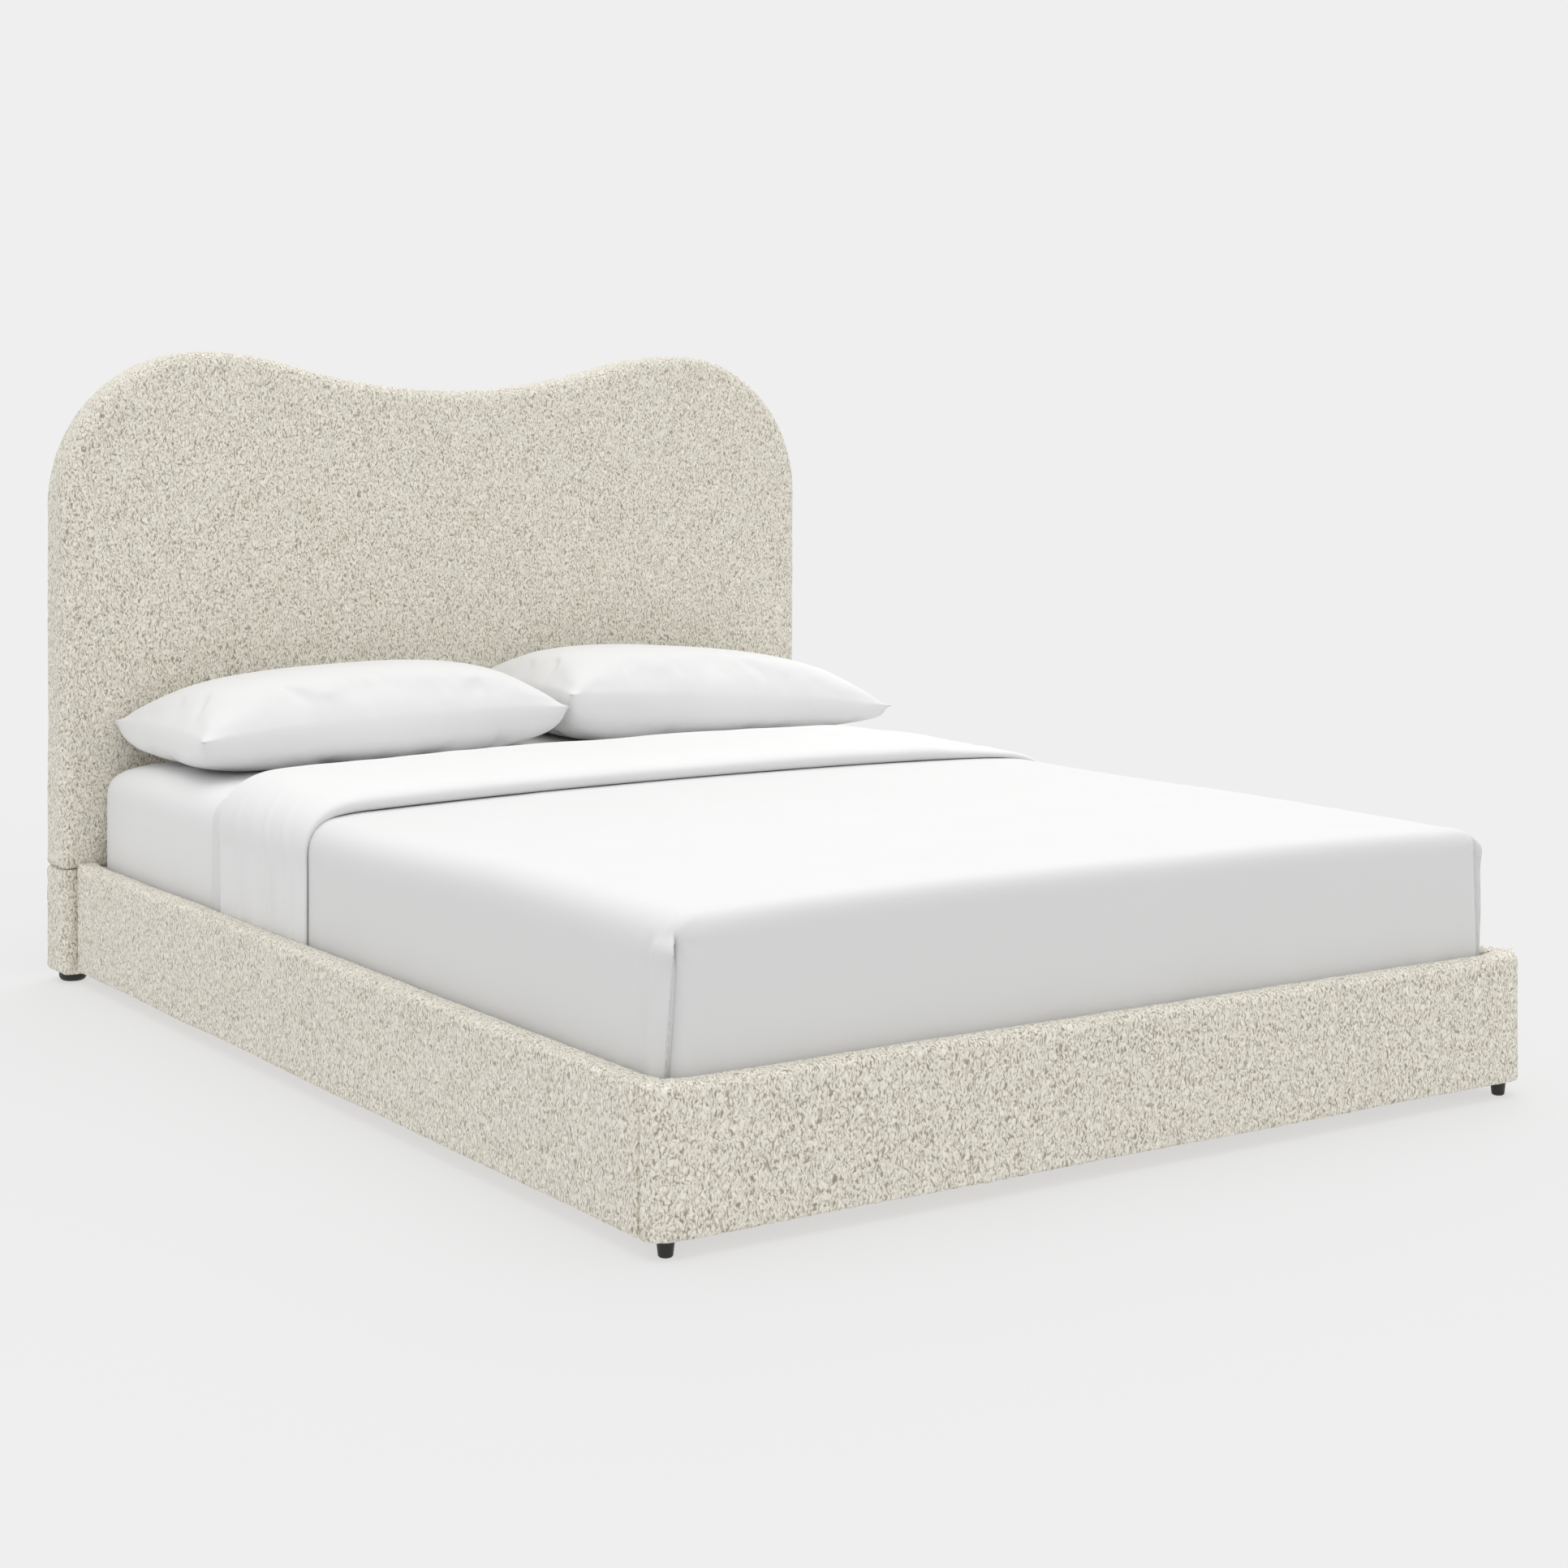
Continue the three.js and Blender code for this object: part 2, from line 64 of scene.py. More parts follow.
# %% Places
head_low, head_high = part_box("headboard_padding")
base_low, base_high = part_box("headboard_base_padding")
foot_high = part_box("foot_rail_padding")[1]
mattress_low, mattress_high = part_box("mattress")
sheet_low, sheet_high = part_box("fitted_sheet")
blanket_low, blanket_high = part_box("blanket")
band_low, band_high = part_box("turned_down_band")
head_face = head_low.y
rails_half = foot_high.x
headboard_half = head_high.x
headboard_corner = 292 * MM
headboard_dip = 75 * MM
dip_share = 0.67
mattress_corner = 28 * MM
top_edge = 95 * MM
top_drop = 66 * MM
top_crown = 13 * MM
crown_sink = 4 * MM
board_gap = 0.3 * MM
print("headboard face at", round(head_face, 4), "rails half width", round(rails_half, 4))

# %% [markdown]
# ## Camera
# A studio shot of furniture keeps its uprights upright. The camera therefore looks level and the lens
# is shifted down to frame the bed.

# %% Camera
eye = Vector((-2.6625, head_face - 5.131, 1.0899))
camera = bpy.data.objects.new("camera", bpy.data.cameras.new("camera"))
camera.data.sensor_width = 36
camera.data.lens = 65.12
camera.data.shift_x = 0.01684
camera.data.shift_y = -0.24385
camera.location = eye
camera.rotation_euler = (math.radians(90), 0, math.radians(-33.44))
bpy.context.scene.collection.objects.link(camera)
bpy.context.scene.camera = camera
bpy.context.scene.view_settings.view_transform = "Standard"

# %% [markdown]
# ## Light
# The backdrop is one pale grey and lights the bed evenly. Two large, soft lights stand over it: one
# straight above, and one behind the headboard to the right, so the top is brighter than the sides.

# %% Light
PALE = 0.863
world = bpy.data.worlds.new("studio")
bpy.context.scene.world = world
world.use_nodes = True
world.node_tree.nodes["Background"].inputs["Color"].default_value = (PALE, PALE, PALE, 1)


def add_sun(name, azimuth, elevation, strength, spread):
    """A soft sun. Azimuth 0 shines from the foot of the bed, and 90 from its left."""
    lamp = bpy.data.objects.new(name, bpy.data.lights.new(name, "SUN"))
    lamp.data.energy = strength
    lamp.data.angle = math.radians(spread)
    turn, lift = math.radians(azimuth), math.radians(elevation)
    level = math.cos(lift)
    toward = Vector((-math.sin(turn) * level, -math.cos(turn) * level, math.sin(lift)))
    lamp.rotation_euler = toward.to_track_quat("Z", "Y").to_euler()
    bpy.context.scene.collection.objects.link(lamp)


add_sun("overhead", 0, 88, 0.95, 60)
add_sun("window", 225, 38, 0.8, 45)

# %% [markdown]
# ## Shader maths as expressions
# A Wire wraps a socket, so that `1 - mask * 0.5` adds the Math nodes by itself. A Finish is one
# material: its `node` method adds any other node from its type, its settings and its inputs.


# %% Wires and finishes
class Wire:
    """An output socket that takes part in Python arithmetic."""

    def __init__(self, finish, socket):
        self.finish, self.socket = finish, socket

    def math(self, operation, *others):
        return self.finish.node("ShaderNodeMath", dict(enumerate([self, *others])), operation=operation)

    def __add__(self, other):
        return self.math("ADD", other)

    def __radd__(self, other):
        return self.math("ADD", other)

    def __mul__(self, other):
        return self.math("MULTIPLY", other)

    def __rsub__(self, other):
        return self.finish.node("ShaderNodeMath", {0: other, 1: self}, operation="SUBTRACT")


class Finish:
    """A material with one Principled shader."""

    def __init__(self, name, **uniform):
        self.material = bpy.data.materials.new(name)
        self.material.use_nodes = True
        self.tree = self.material.node_tree
        self.shader = self.tree.nodes["Principled BSDF"]
        for socket, value in uniform.items():
            self.shader.inputs[socket.replace("_", " ")].default_value = value

    def node(self, kind, inputs=None, out=0, stops=None, **settings):
        """Adds a node. Settings go in first, then the values or links of its inputs."""
        made = self.tree.nodes.new(kind)
        for key, value in settings.items():
            setattr(made, key, value)
        if stops:
            ramp = made.color_ramp.elements
            while len(ramp) < len(stops):
                ramp.new(0.5)
            for element, (place, colour) in zip(ramp, stops):
                element.position = place
                element.color = (*colour, 1) if len(colour) == 3 else colour
        for key, value in (inputs or {}).items():
            self.plug(made.inputs[key], value)
        return Wire(self, made.outputs[out])

    def plug(self, socket, value):
        if isinstance(value, Wire):
            self.tree.links.new(value.socket, socket)
        else:
            socket.default_value = value

    def set(self, socket, value):
        self.plug(self.shader.inputs[socket], value)

    def places(self, stretch=(1, 1, 1)):
        """Places on the piece, in metres, stretched along each axis."""
        spot = self.node("ShaderNodeTexCoord", out="Object")
        return self.node("ShaderNodeMapping", {"Vector": spot, "Scale": stretch})

    def noise(self, scale, detail=2, where=None, roughness=0.5, distortion=0.0):
        inputs = {"Vector": where or self.places(), "Scale": scale, "Detail": detail,
                  "Roughness": roughness, "Distortion": distortion}
        return self.node("ShaderNodeTexNoise", inputs)

    def blend(self, factor, first, second):
        """Mixes two colours."""
        inputs = {0: factor, 6: first, 7: second}
        return self.node("ShaderNodeMix", inputs, out=2, data_type="RGBA")

    def bump(self, height, distance, strength=1.0):
        inputs = {"Height": height, "Distance": distance, "Strength": strength}
        self.set("Normal", self.node("ShaderNodeBump", inputs))


def grey(level):
    return (level, level, level, 1)


# %% [markdown]
# ## Boucle
# Boucle is woven from a looped yarn, so its face is a crowd of small curls with shade between them.
# The curls stand a little taller than wide. Warped noise gives the curls, and the same height
# paints shade into the colour: the gaps between curls are painted dark and the crowns are left light.
# Slow noise tints the yarn, as undyed wool varies.


# %% Boucle finish
def make_boucle():
    cloth = Finish("ivory_boucle", Roughness=0.95)
    cloth.set("Sheen Weight", 0.2)
    cloth.set("Sheen Roughness", 0.5)
    cloth.set("Specular IOR Level", 0.15)
    swirl = {"Vector": cloth.places(), "Scale": 70, "Detail": 1}
    warp = cloth.node("ShaderNodeTexNoise", swirl, out="Color")
    shift = {0: warp, 1: (0.012, 0.012, 0.018)}
    shifted = cloth.node("ShaderNodeVectorMath", shift, operation="MULTIPLY")
    spot = cloth.node("ShaderNodeVectorMath", {0: cloth.places(), 1: shifted}, operation="ADD")
    tall = cloth.node("ShaderNodeMapping", {"Vector": spot, "Scale": (1, 1, 0.42)})
    yarn = cloth.noise(390, 3, tall, roughness=0.7)
    cell = cloth.node("ShaderNodeTexVoronoi", {"Vector": tall, "Scale": 370, "Smoothness": 0.35},
                      out="Distance", feature="SMOOTH_F1")
    height = yarn * 0.75 + (1 - cell) * 0.45
    tint = cloth.noise(9, 3)
    patch = cloth.noise(60, 3)
    rosy = cloth.blend(tint, (0.94, 0.897, 0.815, 1), (0.925, 0.905, 0.822, 1))
    crown = cloth.blend(patch, rosy, (0.985, 0.963, 0.888, 1))
    # Painted shade: this ramp darkens the colour in the gaps between curls and leaves the crowns at full
    # colour.
    painted_gap_shade = cloth.node("ShaderNodeValToRGB", {"Fac": height},
                     stops=[(0.42, (0.37, 0.342, 0.285)), (0.60, (0.87, 0.85, 0.805)), (0.74, (1, 1, 1))])
    cloth.set("Base Color", cloth.node("ShaderNodeMix", {0: 1.0, 6: crown, 7: painted_gap_shade}, out=2,
                                       data_type="RGBA", blend_type="MULTIPLY"))
    cloth.bump(height, 3.2 * MM, 0.85)
    return cloth.material


# %% [markdown]
# ## White cotton
# Percale sheets are almost white and matt. The weave is too fine to see across a room, so it is a
# slight bump; slow, faint noise breaks up the even white as pressing and handling do.


# %% Cotton and ticking finishes
def make_cotton(name, level):
    cloth = Finish(name, Roughness=0.88)
    cloth.set("Sheen Weight", 0.12)
    cloth.set("Specular IOR Level", 0.25)
    soft = cloth.noise(9, 4)
    cloth.set("Base Color", cloth.blend(soft, grey(0.975 * level), grey(level)))
    threads = cloth.noise(1400, 1, cloth.places((1, 0.35, 1)))
    slub = cloth.noise(260, 3, cloth.places((1, 0.2, 1)))
    cloth.bump(threads * 0.5 + slub * 0.5, 0.25 * MM, 0.35)
    return cloth.material


def make_ticking():
    cloth = Finish("mattress_ticking", Roughness=0.9)
    stripe = cloth.node("ShaderNodeTexWave", {"Vector": cloth.places(), "Scale": 14, "Distortion": 0.2})
    cloth.set("Base Color", cloth.blend(stripe, (0.74, 0.72, 0.66, 1), (0.80, 0.79, 0.75, 1)))
    cloth.bump(cloth.noise(700, 2), 0.4 * MM, 0.5)
    return cloth.material


# %% [markdown]
# ## Timber, plywood, plastic, steel and dust cover
# These show only under the bed and at its feet. Timber grain is noise drawn out along the board;
# plastic has a faint moulded grain; powder coat has a fine orange peel; zinc has cloudy spangle.


# %% Hard finishes
def make_timber(name, along, pale, dark):
    wood = Finish(name, Roughness=0.62)
    stretch = tuple(0.06 if axis == along else 1 for axis in "xyz")
    grain = wood.noise(95, 6, wood.places(stretch), roughness=0.6, distortion=0.6)
    rings = wood.noise(14, 2, wood.places(stretch))
    mixed = grain * 0.65 + rings * 0.35
    ramp = wood.node("ShaderNodeValToRGB", {"Fac": mixed}, stops=[(0.35, dark), (0.62, pale)])
    wood.set("Base Color", ramp)
    wood.set("Roughness", 0.55 + grain * 0.2)
    wood.bump(grain, 0.4 * MM, 0.4)
    return wood.material


def make_grained(name, grain, tones, relief, rough=None, cloudy=None, **uniform):
    """A finish whose grain sets its relief, its roughness and, unless it is cloudy, its tones."""
    coat = Finish(name, **uniform)
    fine = coat.noise(**grain)
    coat.set("Base Color", coat.blend(coat.noise(cloudy, 3) if cloudy else fine, *tones))
    if rough:
        coat.set("Roughness", rough[0] + fine * rough[1])
    coat.bump(fine, *relief)
    return coat.material


boucle = make_boucle()
bed_linen = make_cotton("white_percale", 0.72)
sheet_linen = make_cotton("white_sateen", 0.775)
pillow_linen = make_cotton("white_pillowcase", 0.795)
ticking = make_ticking()
dust_cover = make_grained("black_non_woven", dict(scale=420, detail=5, roughness=0.7),
                          (grey(0.012), grey(0.05)), (0.5 * MM, 0.6), Roughness=0.95)
pine = ((0.74, 0.56, 0.36), (0.52, 0.35, 0.19))
board_timber = {axis: make_timber(f"pine_along_{axis}", axis, *pine) for axis in "xyz"}
plywood = make_timber("birch_plywood", "x", (0.74, 0.62, 0.45), (0.58, 0.45, 0.29))
plastic = make_grained("black_plastic", dict(scale=900, detail=3), (grey(0.008), grey(0.016)),
                       (0.15 * MM, 0.5), (0.36, 0.16), 60)
powder_coat = make_grained("black_powder_coat", dict(scale=650), (grey(0.016), grey(0.026)),
                           (0.2 * MM, 0.6), (0.42, 0.16), 30)
zinc = make_grained("zinc_plate", dict(scale=85, detail=3, roughness=0.7),
                    ((0.50, 0.52, 0.55, 1), (0.70, 0.71, 0.73, 1)), (0.1 * MM, 0.4), (0.26, 0.22),
                    Metallic=1.0)
print("finishes", len(bpy.data.materials))

# %% [markdown]
# ## Which piece gets which finish
# The record gives every node a material slot. A timber board also needs its grain along its length,
# and the headboard's front board is plywood because it has to be wide and thin.


# %% Finishes for the frame's own pieces
slot_of = {row["node"]: row["material_slot"] for row in frame["record"]["subparts"]}
finish_for = {"black_plastic": plastic, "black_steel": powder_coat, "zinc": zinc, "plywood": plywood,
              "boucle": boucle, "dust_cover": dust_cover, "ticking": ticking, "white_cotton": bed_linen}


def finish_of(node):
    if "board" in node and "front" in node:
        return plywood
    if slot_of[node] == "timber":
        low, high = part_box(node)
        return board_timber["xyz"[max(range(3), key=lambda axis: high[axis] - low[axis])]]
    return finish_for[slot_of[node]]


for node, piece in frame["nodes"].items():
    piece.data.materials.clear()
    piece.data.materials.append(finish_of(node))
print("frame's own pieces finished:", len(frame["nodes"]))

# %% [markdown]
# ## Noise for shapes
# The shader's bump can't change an outline, so the fabric's larger unevenness is put into the mesh.
# Two kinds are enough: smooth noise for foam that isn't quite flat, and a pebble pattern for curls.


# %% Noise on arrays of points
def hashed(cells, seed):
    """A repeatable number from 0 to 1 for each whole-number cell."""
    x, y, z = np.moveaxis(cells.astype(np.int64), -1, 0)
    mixed = x * 73856093 ^ y * 19349663 ^ z * 83492791 ^ (seed * 2654435761)
    mixed = (mixed ^ (mixed >> 13)) * 1274126177 & 0x7FFFFFFF
    return ((mixed ^ (mixed >> 16)) & 0xFFFFF) / 0xFFFFF


def smooth_noise(points, size, seed=0):
    """Noise from -1 to 1 whose lumps are about the given size."""
    spot = points / size
    cell = np.floor(spot)
    share = spot - cell
    share = share * share * (3 - 2 * share)
    total = np.zeros(len(points))
    for corner in np.ndindex(2, 2, 2):
        weight = np.prod(np.where(corner, share, 1 - share), axis=1)
        total += weight * hashed(cell + corner, seed)
    return total * 2 - 1


def pebbles(points, size, seed=0):
    """Rounded lumps side by side: 1 on a lump's crown and 0 between lumps."""
    spot = points / size
    cell = np.floor(spot)
    nearest = np.full(len(points), 9.0)
    for step in np.ndindex(3, 3, 3):
        near = cell + np.array(step) - 1
        centre = near + np.stack([hashed(near, seed + axis) for axis in range(3)], axis=1)
        nearest = np.minimum(nearest, ((spot - centre) ** 2).sum(1))
    return np.clip(1 - nearest, 0, 1)


# %% [markdown]
# ## Outlines
# A padded section is an outline with a thickness. An outline is drawn as straight runs and arcs,
# then cut into even steps, so that the fabric's mesh is even too.


# %% Outline helpers
def arc(centre, radius, start, end):
    """Points along an arc, with its angles in degrees."""
    steps = max(3, int(abs(math.radians(end - start)) * radius / (2 * MM)))
    turn = np.radians(np.linspace(start, end, steps))
    return np.column_stack([centre[0] + radius * np.cos(turn), centre[1] + radius * np.sin(turn)])


def rounded_box(low, high, radii):
    """A rectangle's outline, anticlockwise from its lower right corner, with a radius per corner."""
    (x0, y0), (x1, y1) = low, high
    a, b, c, d = radii
    centres = ((x1 - a, y0 + a), (x1 - b, y1 - b), (x0 + c, y1 - c), (x0 + d, y0 + d))
    corners = zip(centres, radii, (-90, 0, 90, 180))
    return np.vstack([arc(centre, radius, start, start + 90) for centre, radius, start in corners])


def evenly(loop, spacing, finer=None):
    """Cuts a closed outline into even steps and finds the outward direction at each point."""
    closed = np.vstack([loop, loop[:1]])
    step = np.hypot(*np.diff(closed, axis=0).T)
    keep = np.concatenate([[True], step > 1e-7])
    closed, step = closed[keep], step[step > 1e-7]
    run = np.concatenate([[0], np.cumsum(step)])
    fine = np.linspace(0, run[-1], 20000)
    density = np.full(len(fine), 1 / spacing)
    if finer is not None:
        spots = np.column_stack([np.interp(fine, run, closed[:, axis]) for axis in range(2)])
        density = density * finer(spots)
    count = np.concatenate([[0], np.cumsum((density[1:] + density[:-1]) / 2 * np.diff(fine))])
    places = np.interp(np.arange(round(count[-1])) * count[-1] / round(count[-1]), count, fine)
    at = lambda s: np.column_stack([np.interp(s % run[-1], run, closed[:, axis]) for axis in range(2)])
    ahead = at(places + 1.5 * MM) - at(places - 1.5 * MM)
    ahead /= np.linalg.norm(ahead, axis=1)[:, None]
    return at(places), np.column_stack([ahead[:, 1], -ahead[:, 0]])


def inner_points(loop, spacing):
    """A triangular grid of points inside an outline, clear of its edge."""
    x, y = loop.T
    after_x, after_y = np.roll(x, -1), np.roll(y, -1)
    rows, found = np.arange(y.min(), y.max(), spacing * math.sqrt(3) / 2), []
    for index, level in enumerate(rows):
        hit = (y > level) != (after_y > level)
        if not hit.any():
            continue
        cuts = np.sort(x[hit] + (level - y[hit]) / (after_y[hit] - y[hit]) * (after_x[hit] - x[hit]))
        for start, end in zip(cuts[::2], cuts[1::2]):
            first = math.ceil(start / spacing) * spacing + (index % 2) * spacing / 2
            spots = np.arange(first, end, spacing)
            found.append(np.column_stack([spots, np.full(len(spots), level)]))
    if not found:
        return np.zeros((0, 2))
    grid = np.vstack(found)
    tree = KDTree(len(loop))
    for index, (px, py) in enumerate(loop):
        tree.insert((px, py, 0), index)
    tree.balance()
    clear = [tree.find((px, py, 0))[2] > 0.62 * spacing for px, py in grid]
    return grid[np.array(clear, bool)]


def fill(loops, inside=np.zeros((0, 2))):
    """Triangles that fill the first loop, with edges along the other loops and corners inside."""
    points = np.vstack([*loops, inside])
    edges, start = [], 0
    for loop in loops:
        count = len(loop)
        edges += [(start + i, start + (i + 1) % count) for i in range(count)]
        start += count
    made = delaunay_2d_cdt([Vector(p) for p in points], edges, [], 2, 1e-7)
    source = [min(origin) if origin else -1 for origin in made[3]]
    if min(source) < 0:
        raise ValueError("an outline crosses itself")
    corners = np.array([[source[v] for v in face] for face in made[2]], int)
    a, b, c = points[corners[:, 0]], points[corners[:, 1]], points[corners[:, 2]]
    turn = (b[:, 0] - a[:, 0]) * (c[:, 1] - a[:, 1]) - (b[:, 1] - a[:, 1]) * (c[:, 0] - a[:, 0])
    corners[turn < 0] = corners[turn < 0][:, ::-1]
    return points, corners


def joined_rows(grid):
    """Four-sided faces between the rows of a grid of point numbers."""
    corners = [grid[:-1, :-1], grid[:-1, 1:], grid[1:, 1:], grid[1:, :-1]]
    return [tuple(quad) for quad in np.stack(corners, axis=2).reshape(-1, 4)]


def joined_rings(starts, count):
    """Four-sided faces between closed rings of points that follow each other."""
    return joined_rows(np.add.outer(np.append(np.arange(count), 0), starts))


def build(name, points, faces, material):
    """A smooth-shaded object from an array of points and a list of faces."""
    mesh = bpy.data.meshes.new(name)
    mesh.from_pydata(points.tolist() if hasattr(points, "tolist") else points, [], faces)
    mesh.polygons.foreach_set("use_smooth", [True] * len(mesh.polygons))
    mesh.materials.append(material)
    mesh.update()
    piece = bpy.data.objects.new(name, mesh)
    bpy.context.scene.collection.objects.link(piece)
    return piece


def stand_in(piece, node, body):
    """Lets a piece take the place of one of the frame's nodes, on the body that carries it."""
    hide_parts(node)
    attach(piece, body)
    print(piece.name, len(piece.data.polygons), "faces")


def read_out(rows, field):
    values = np.empty(len(rows) * 3, np.float32)
    rows.foreach_get(field, values)
    return values.reshape(-1, 3).astype(float)


def spots_of(piece):
    return read_out(piece.data.vertices, "co")


def outward(piece):
    return read_out(piece.data.vertex_normals, "vector")


def move_to(piece, spots):
    piece.data.vertices.foreach_set("co", np.ascontiguousarray(spots, np.float32).ravel())
    piece.data.update()


# %% [markdown]
# ## Padded sections
# Foam over boards, with fabric pulled over it and stapled behind, gives flat faces with rolled
# edges. Each section is built as rings: a filled face, rings over its rolled edge, rings down its
# sides, and a rim round the pocket that holds the boards. The pocket stays open, as on the real one.


# %% Padded section
FABRIC_STEP = 6 * MM


def padded_section(name, node, outline, place, depth, front_roll, back_roll, pocket, floor, seed):
    """outline is (points, outward). place turns (u, v, depth) into x, y, z. A roll is (inset, drop)."""
    points, out = outline
    inset, drop = (np.broadcast_to(value, len(points)) for value in front_roll)
    back_inset, back_drop = (np.broadcast_to(value, len(points)) for value in back_roll)
    rings = []
    widest = float(max(inset.max(), drop.max()))
    turns = np.linspace(0, math.pi / 2, 2 + round(widest * 1.6 / FABRIC_STEP))
    for turn in turns:
        drawn = points - out * (inset * (1 - math.sin(turn)))[:, None]
        rings.append((drawn, drop * (1 - math.cos(turn))))
    straight = np.linspace(0, 1, 2 + int((depth - drop.max() - back_drop.max()) / FABRIC_STEP))
    for share in straight[1:]:
        rings.append((points, drop + (depth - drop - back_drop) * share))
    for turn in turns[1::2] if len(turns) > 4 else turns[1:]:
        drawn = points - out * (back_inset * (1 - math.cos(turn)))[:, None]
        rings.append((drawn, depth - back_drop * (1 - math.sin(turn))))
    count, pocket_count = len(points), len(pocket)
    face_points, face = fill([rings[0][0]], inner_points(rings[0][0], FABRIC_STEP))
    flat = [np.column_stack([face_points, np.zeros(len(face_points))])]
    flat += [np.column_stack([loop, level]) for loop, level in rings[1:]]
    starts = [0] + [len(face_points) + index * count for index in range(len(rings) - 1)]
    skin = starts[-1] + count
    mouth, deep = skin, skin + pocket_count
    flat.append(np.column_stack([pocket, np.full(pocket_count, depth)]))
    flat.append(np.column_stack([pocket, np.full(pocket_count, floor)]))
    faces = [tuple(corner) for corner in face] + joined_rings(starts, count)
    rim = fill([rings[-1][0], pocket])[1]
    renamed = np.concatenate([starts[-1] + np.arange(count), mouth + np.arange(pocket_count)])
    faces += [tuple(renamed[corner][::-1]) for corner in rim if np.min(corner) < count]
    faces += joined_rings([mouth, deep], pocket_count)
    faces += [tuple((deep + corner)[::-1]) for corner in fill([pocket])[1]]
    flat = np.vstack(flat)
    piece = build(name, place(flat[:, 0], flat[:, 1], flat[:, 2]), faces, boucle)
    face_up(piece)
    settle_fabric(piece, skin, seed)
    stand_in(piece, node, "frame")


def settle_fabric(piece, skin, seed, curl=1.5 * MM, sag=1.2 * MM):
    """Lets the foam wander a little and raises the curls, on the skin, whose corners come first."""
    spots, ways = spots_of(piece), outward(piece)
    lift = sag * smooth_noise(spots, 170 * MM, seed)
    lift += 0.4 * sag * smooth_noise(spots, 45 * MM, seed + 1)
    tall = spots * np.array([1, 1, 0.7])
    lift += curl * (pebbles(tall, 9 * MM, seed + 2) - 0.6)
    lift[skin:] = 0
    move_to(piece, spots + ways * lift[:, None])


def step_up(value, low, high):
    """0 below low, 1 above high, and smooth between."""
    share = np.clip((value - low) / (high - low), 0, 1)
    return share * share * (3 - 2 * share)


def bell(distance, width):
    """1 at no distance, and close to 0 beyond twice the width."""
    return np.exp(-((distance / width) ** 2))


def apply_modifiers(piece):
    seen = piece.evaluated_get(bpy.context.evaluated_depsgraph_get())
    made = bpy.data.meshes.new_from_object(seen)
    old, piece.data = piece.data, made
    piece.modifiers.clear()
    bpy.data.meshes.remove(old)
    made.polygons.foreach_set("use_smooth", [True] * len(made.polygons))


def thicken(piece, wall):
    """Gives a surface a thickness, inwards, and applies it."""
    shell = piece.modifiers.new("cloth thickness", "SOLIDIFY")
    shell.thickness = wall
    shell.offset = -1
    shell.use_even_offset = False
    apply_modifiers(piece)


def face_up(piece):
    """Turns the faces outwards."""
    spots = spots_of(piece)
    mesh = piece.data
    mesh.calc_loop_triangles()
    corners = np.empty(len(mesh.loop_triangles) * 3, np.int32)
    mesh.loop_triangles.foreach_get("vertices", corners)
    a, b, c = spots[corners.reshape(-1, 3)].transpose(1, 0, 2)
    volume = (a * np.cross(b, c)).sum() / 6
    if volume < 0:
        mesh.flip_normals()
        mesh.update()


# %% [markdown]
# ## Headboard
# The upper section's outline is straight sides, two large corner arcs, two humps and a shallow dip
# that flows into them. Its edges are rolled about 26 mm, but at the seam the fabric is sewn tight.


# %% Headboard sections
def headboard_curve(inset, small=9 * MM):
    half, bottom, top = headboard_half - inset, head_low.z + inset, head_high.z
    hump = headboard_half - headboard_corner
    lean = 2 * math.atan(headboard_dip / hump)
    dip_radius = dip_share * hump / math.sin(lean)
    hump_radius = hump / math.sin(lean) - dip_radius
    tilt = math.degrees(lean)
    corner = (hump, top - headboard_corner)
    right = [
        arc((half - small, bottom + small), small, -90, 0),
        arc(corner, headboard_corner - inset, 0, 90),
        arc((hump, top - hump_radius), hump_radius - inset, 90, 90 + tilt),
        arc((0, top - headboard_dip + dip_radius), dip_radius + inset, -90 + tilt, -90),
    ]
    half_way = np.vstack(right)
    return np.vstack([half_way, (half_way * (-1, 1))[::-1]])


def tight_at(levels, distance, tight, full):
    """A roll that is tight near an edge and full away from it, given the distance from the edge."""
    return tight + (full - tight) * step_up(levels, 0, distance)


def in_headboard(u, v, w):
    return np.column_stack([u, head_face + w, v])


def make_headboard():
    board_low, board_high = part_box("headboard_front_board")
    wall = headboard_half - board_high.x - board_gap
    upper = evenly(headboard_curve(0), FABRIC_STEP)
    upper_pocket = headboard_curve(wall, 3 * MM)
    upper_roll = tight_at(upper[0][:, 1] - head_low.z, 50 * MM, 7 * MM, 26 * MM)
    small, round_foot = 9 * MM, 12 * MM
    low, high = (-headboard_half, base_low.z), (headboard_half, base_high.z)
    lower = evenly(rounded_box(low, high, (round_foot, small, small, round_foot)), FABRIC_STEP)
    pocket_low = (-board_high.x - board_gap, base_low.z + wall)
    pocket_high = (board_high.x + board_gap, base_high.z - wall)
    lower_pocket = rounded_box(pocket_low, pocket_high, (3 * MM,) * 4)
    from_edge = np.minimum(base_high.z - lower[0][:, 1], lower[0][:, 1] - base_low.z)
    lower_roll = tight_at(from_edge, 50 * MM, 7 * MM, 22 * MM)
    for name, node, outline, pocket, roll, seed in (
            ("headboard_upper_upholstery", "headboard_padding", upper, upper_pocket, upper_roll, 10),
            ("headboard_lower_upholstery", "headboard_base_padding", lower, lower_pocket, lower_roll, 15)):
        back = (np.minimum(roll, 14 * MM), np.minimum(roll, 12 * MM))
        padded_section(name, node, outline, in_headboard, head_high.y - head_low.y, (roll, roll), back,
                       evenly(pocket, 30 * MM)[0], board_low.y - head_face - board_gap, seed)


make_headboard()

# %% [markdown]
# ## Rails
# The side rails are long padded bars, butted behind the foot rail, whose ends wrap the two corners.
# Their tops are rolled nearly half-round, and the ends are sewn tight, which leaves the dark seams.
# Where a side rail meets the headboard its cover stops a few millimetres short.


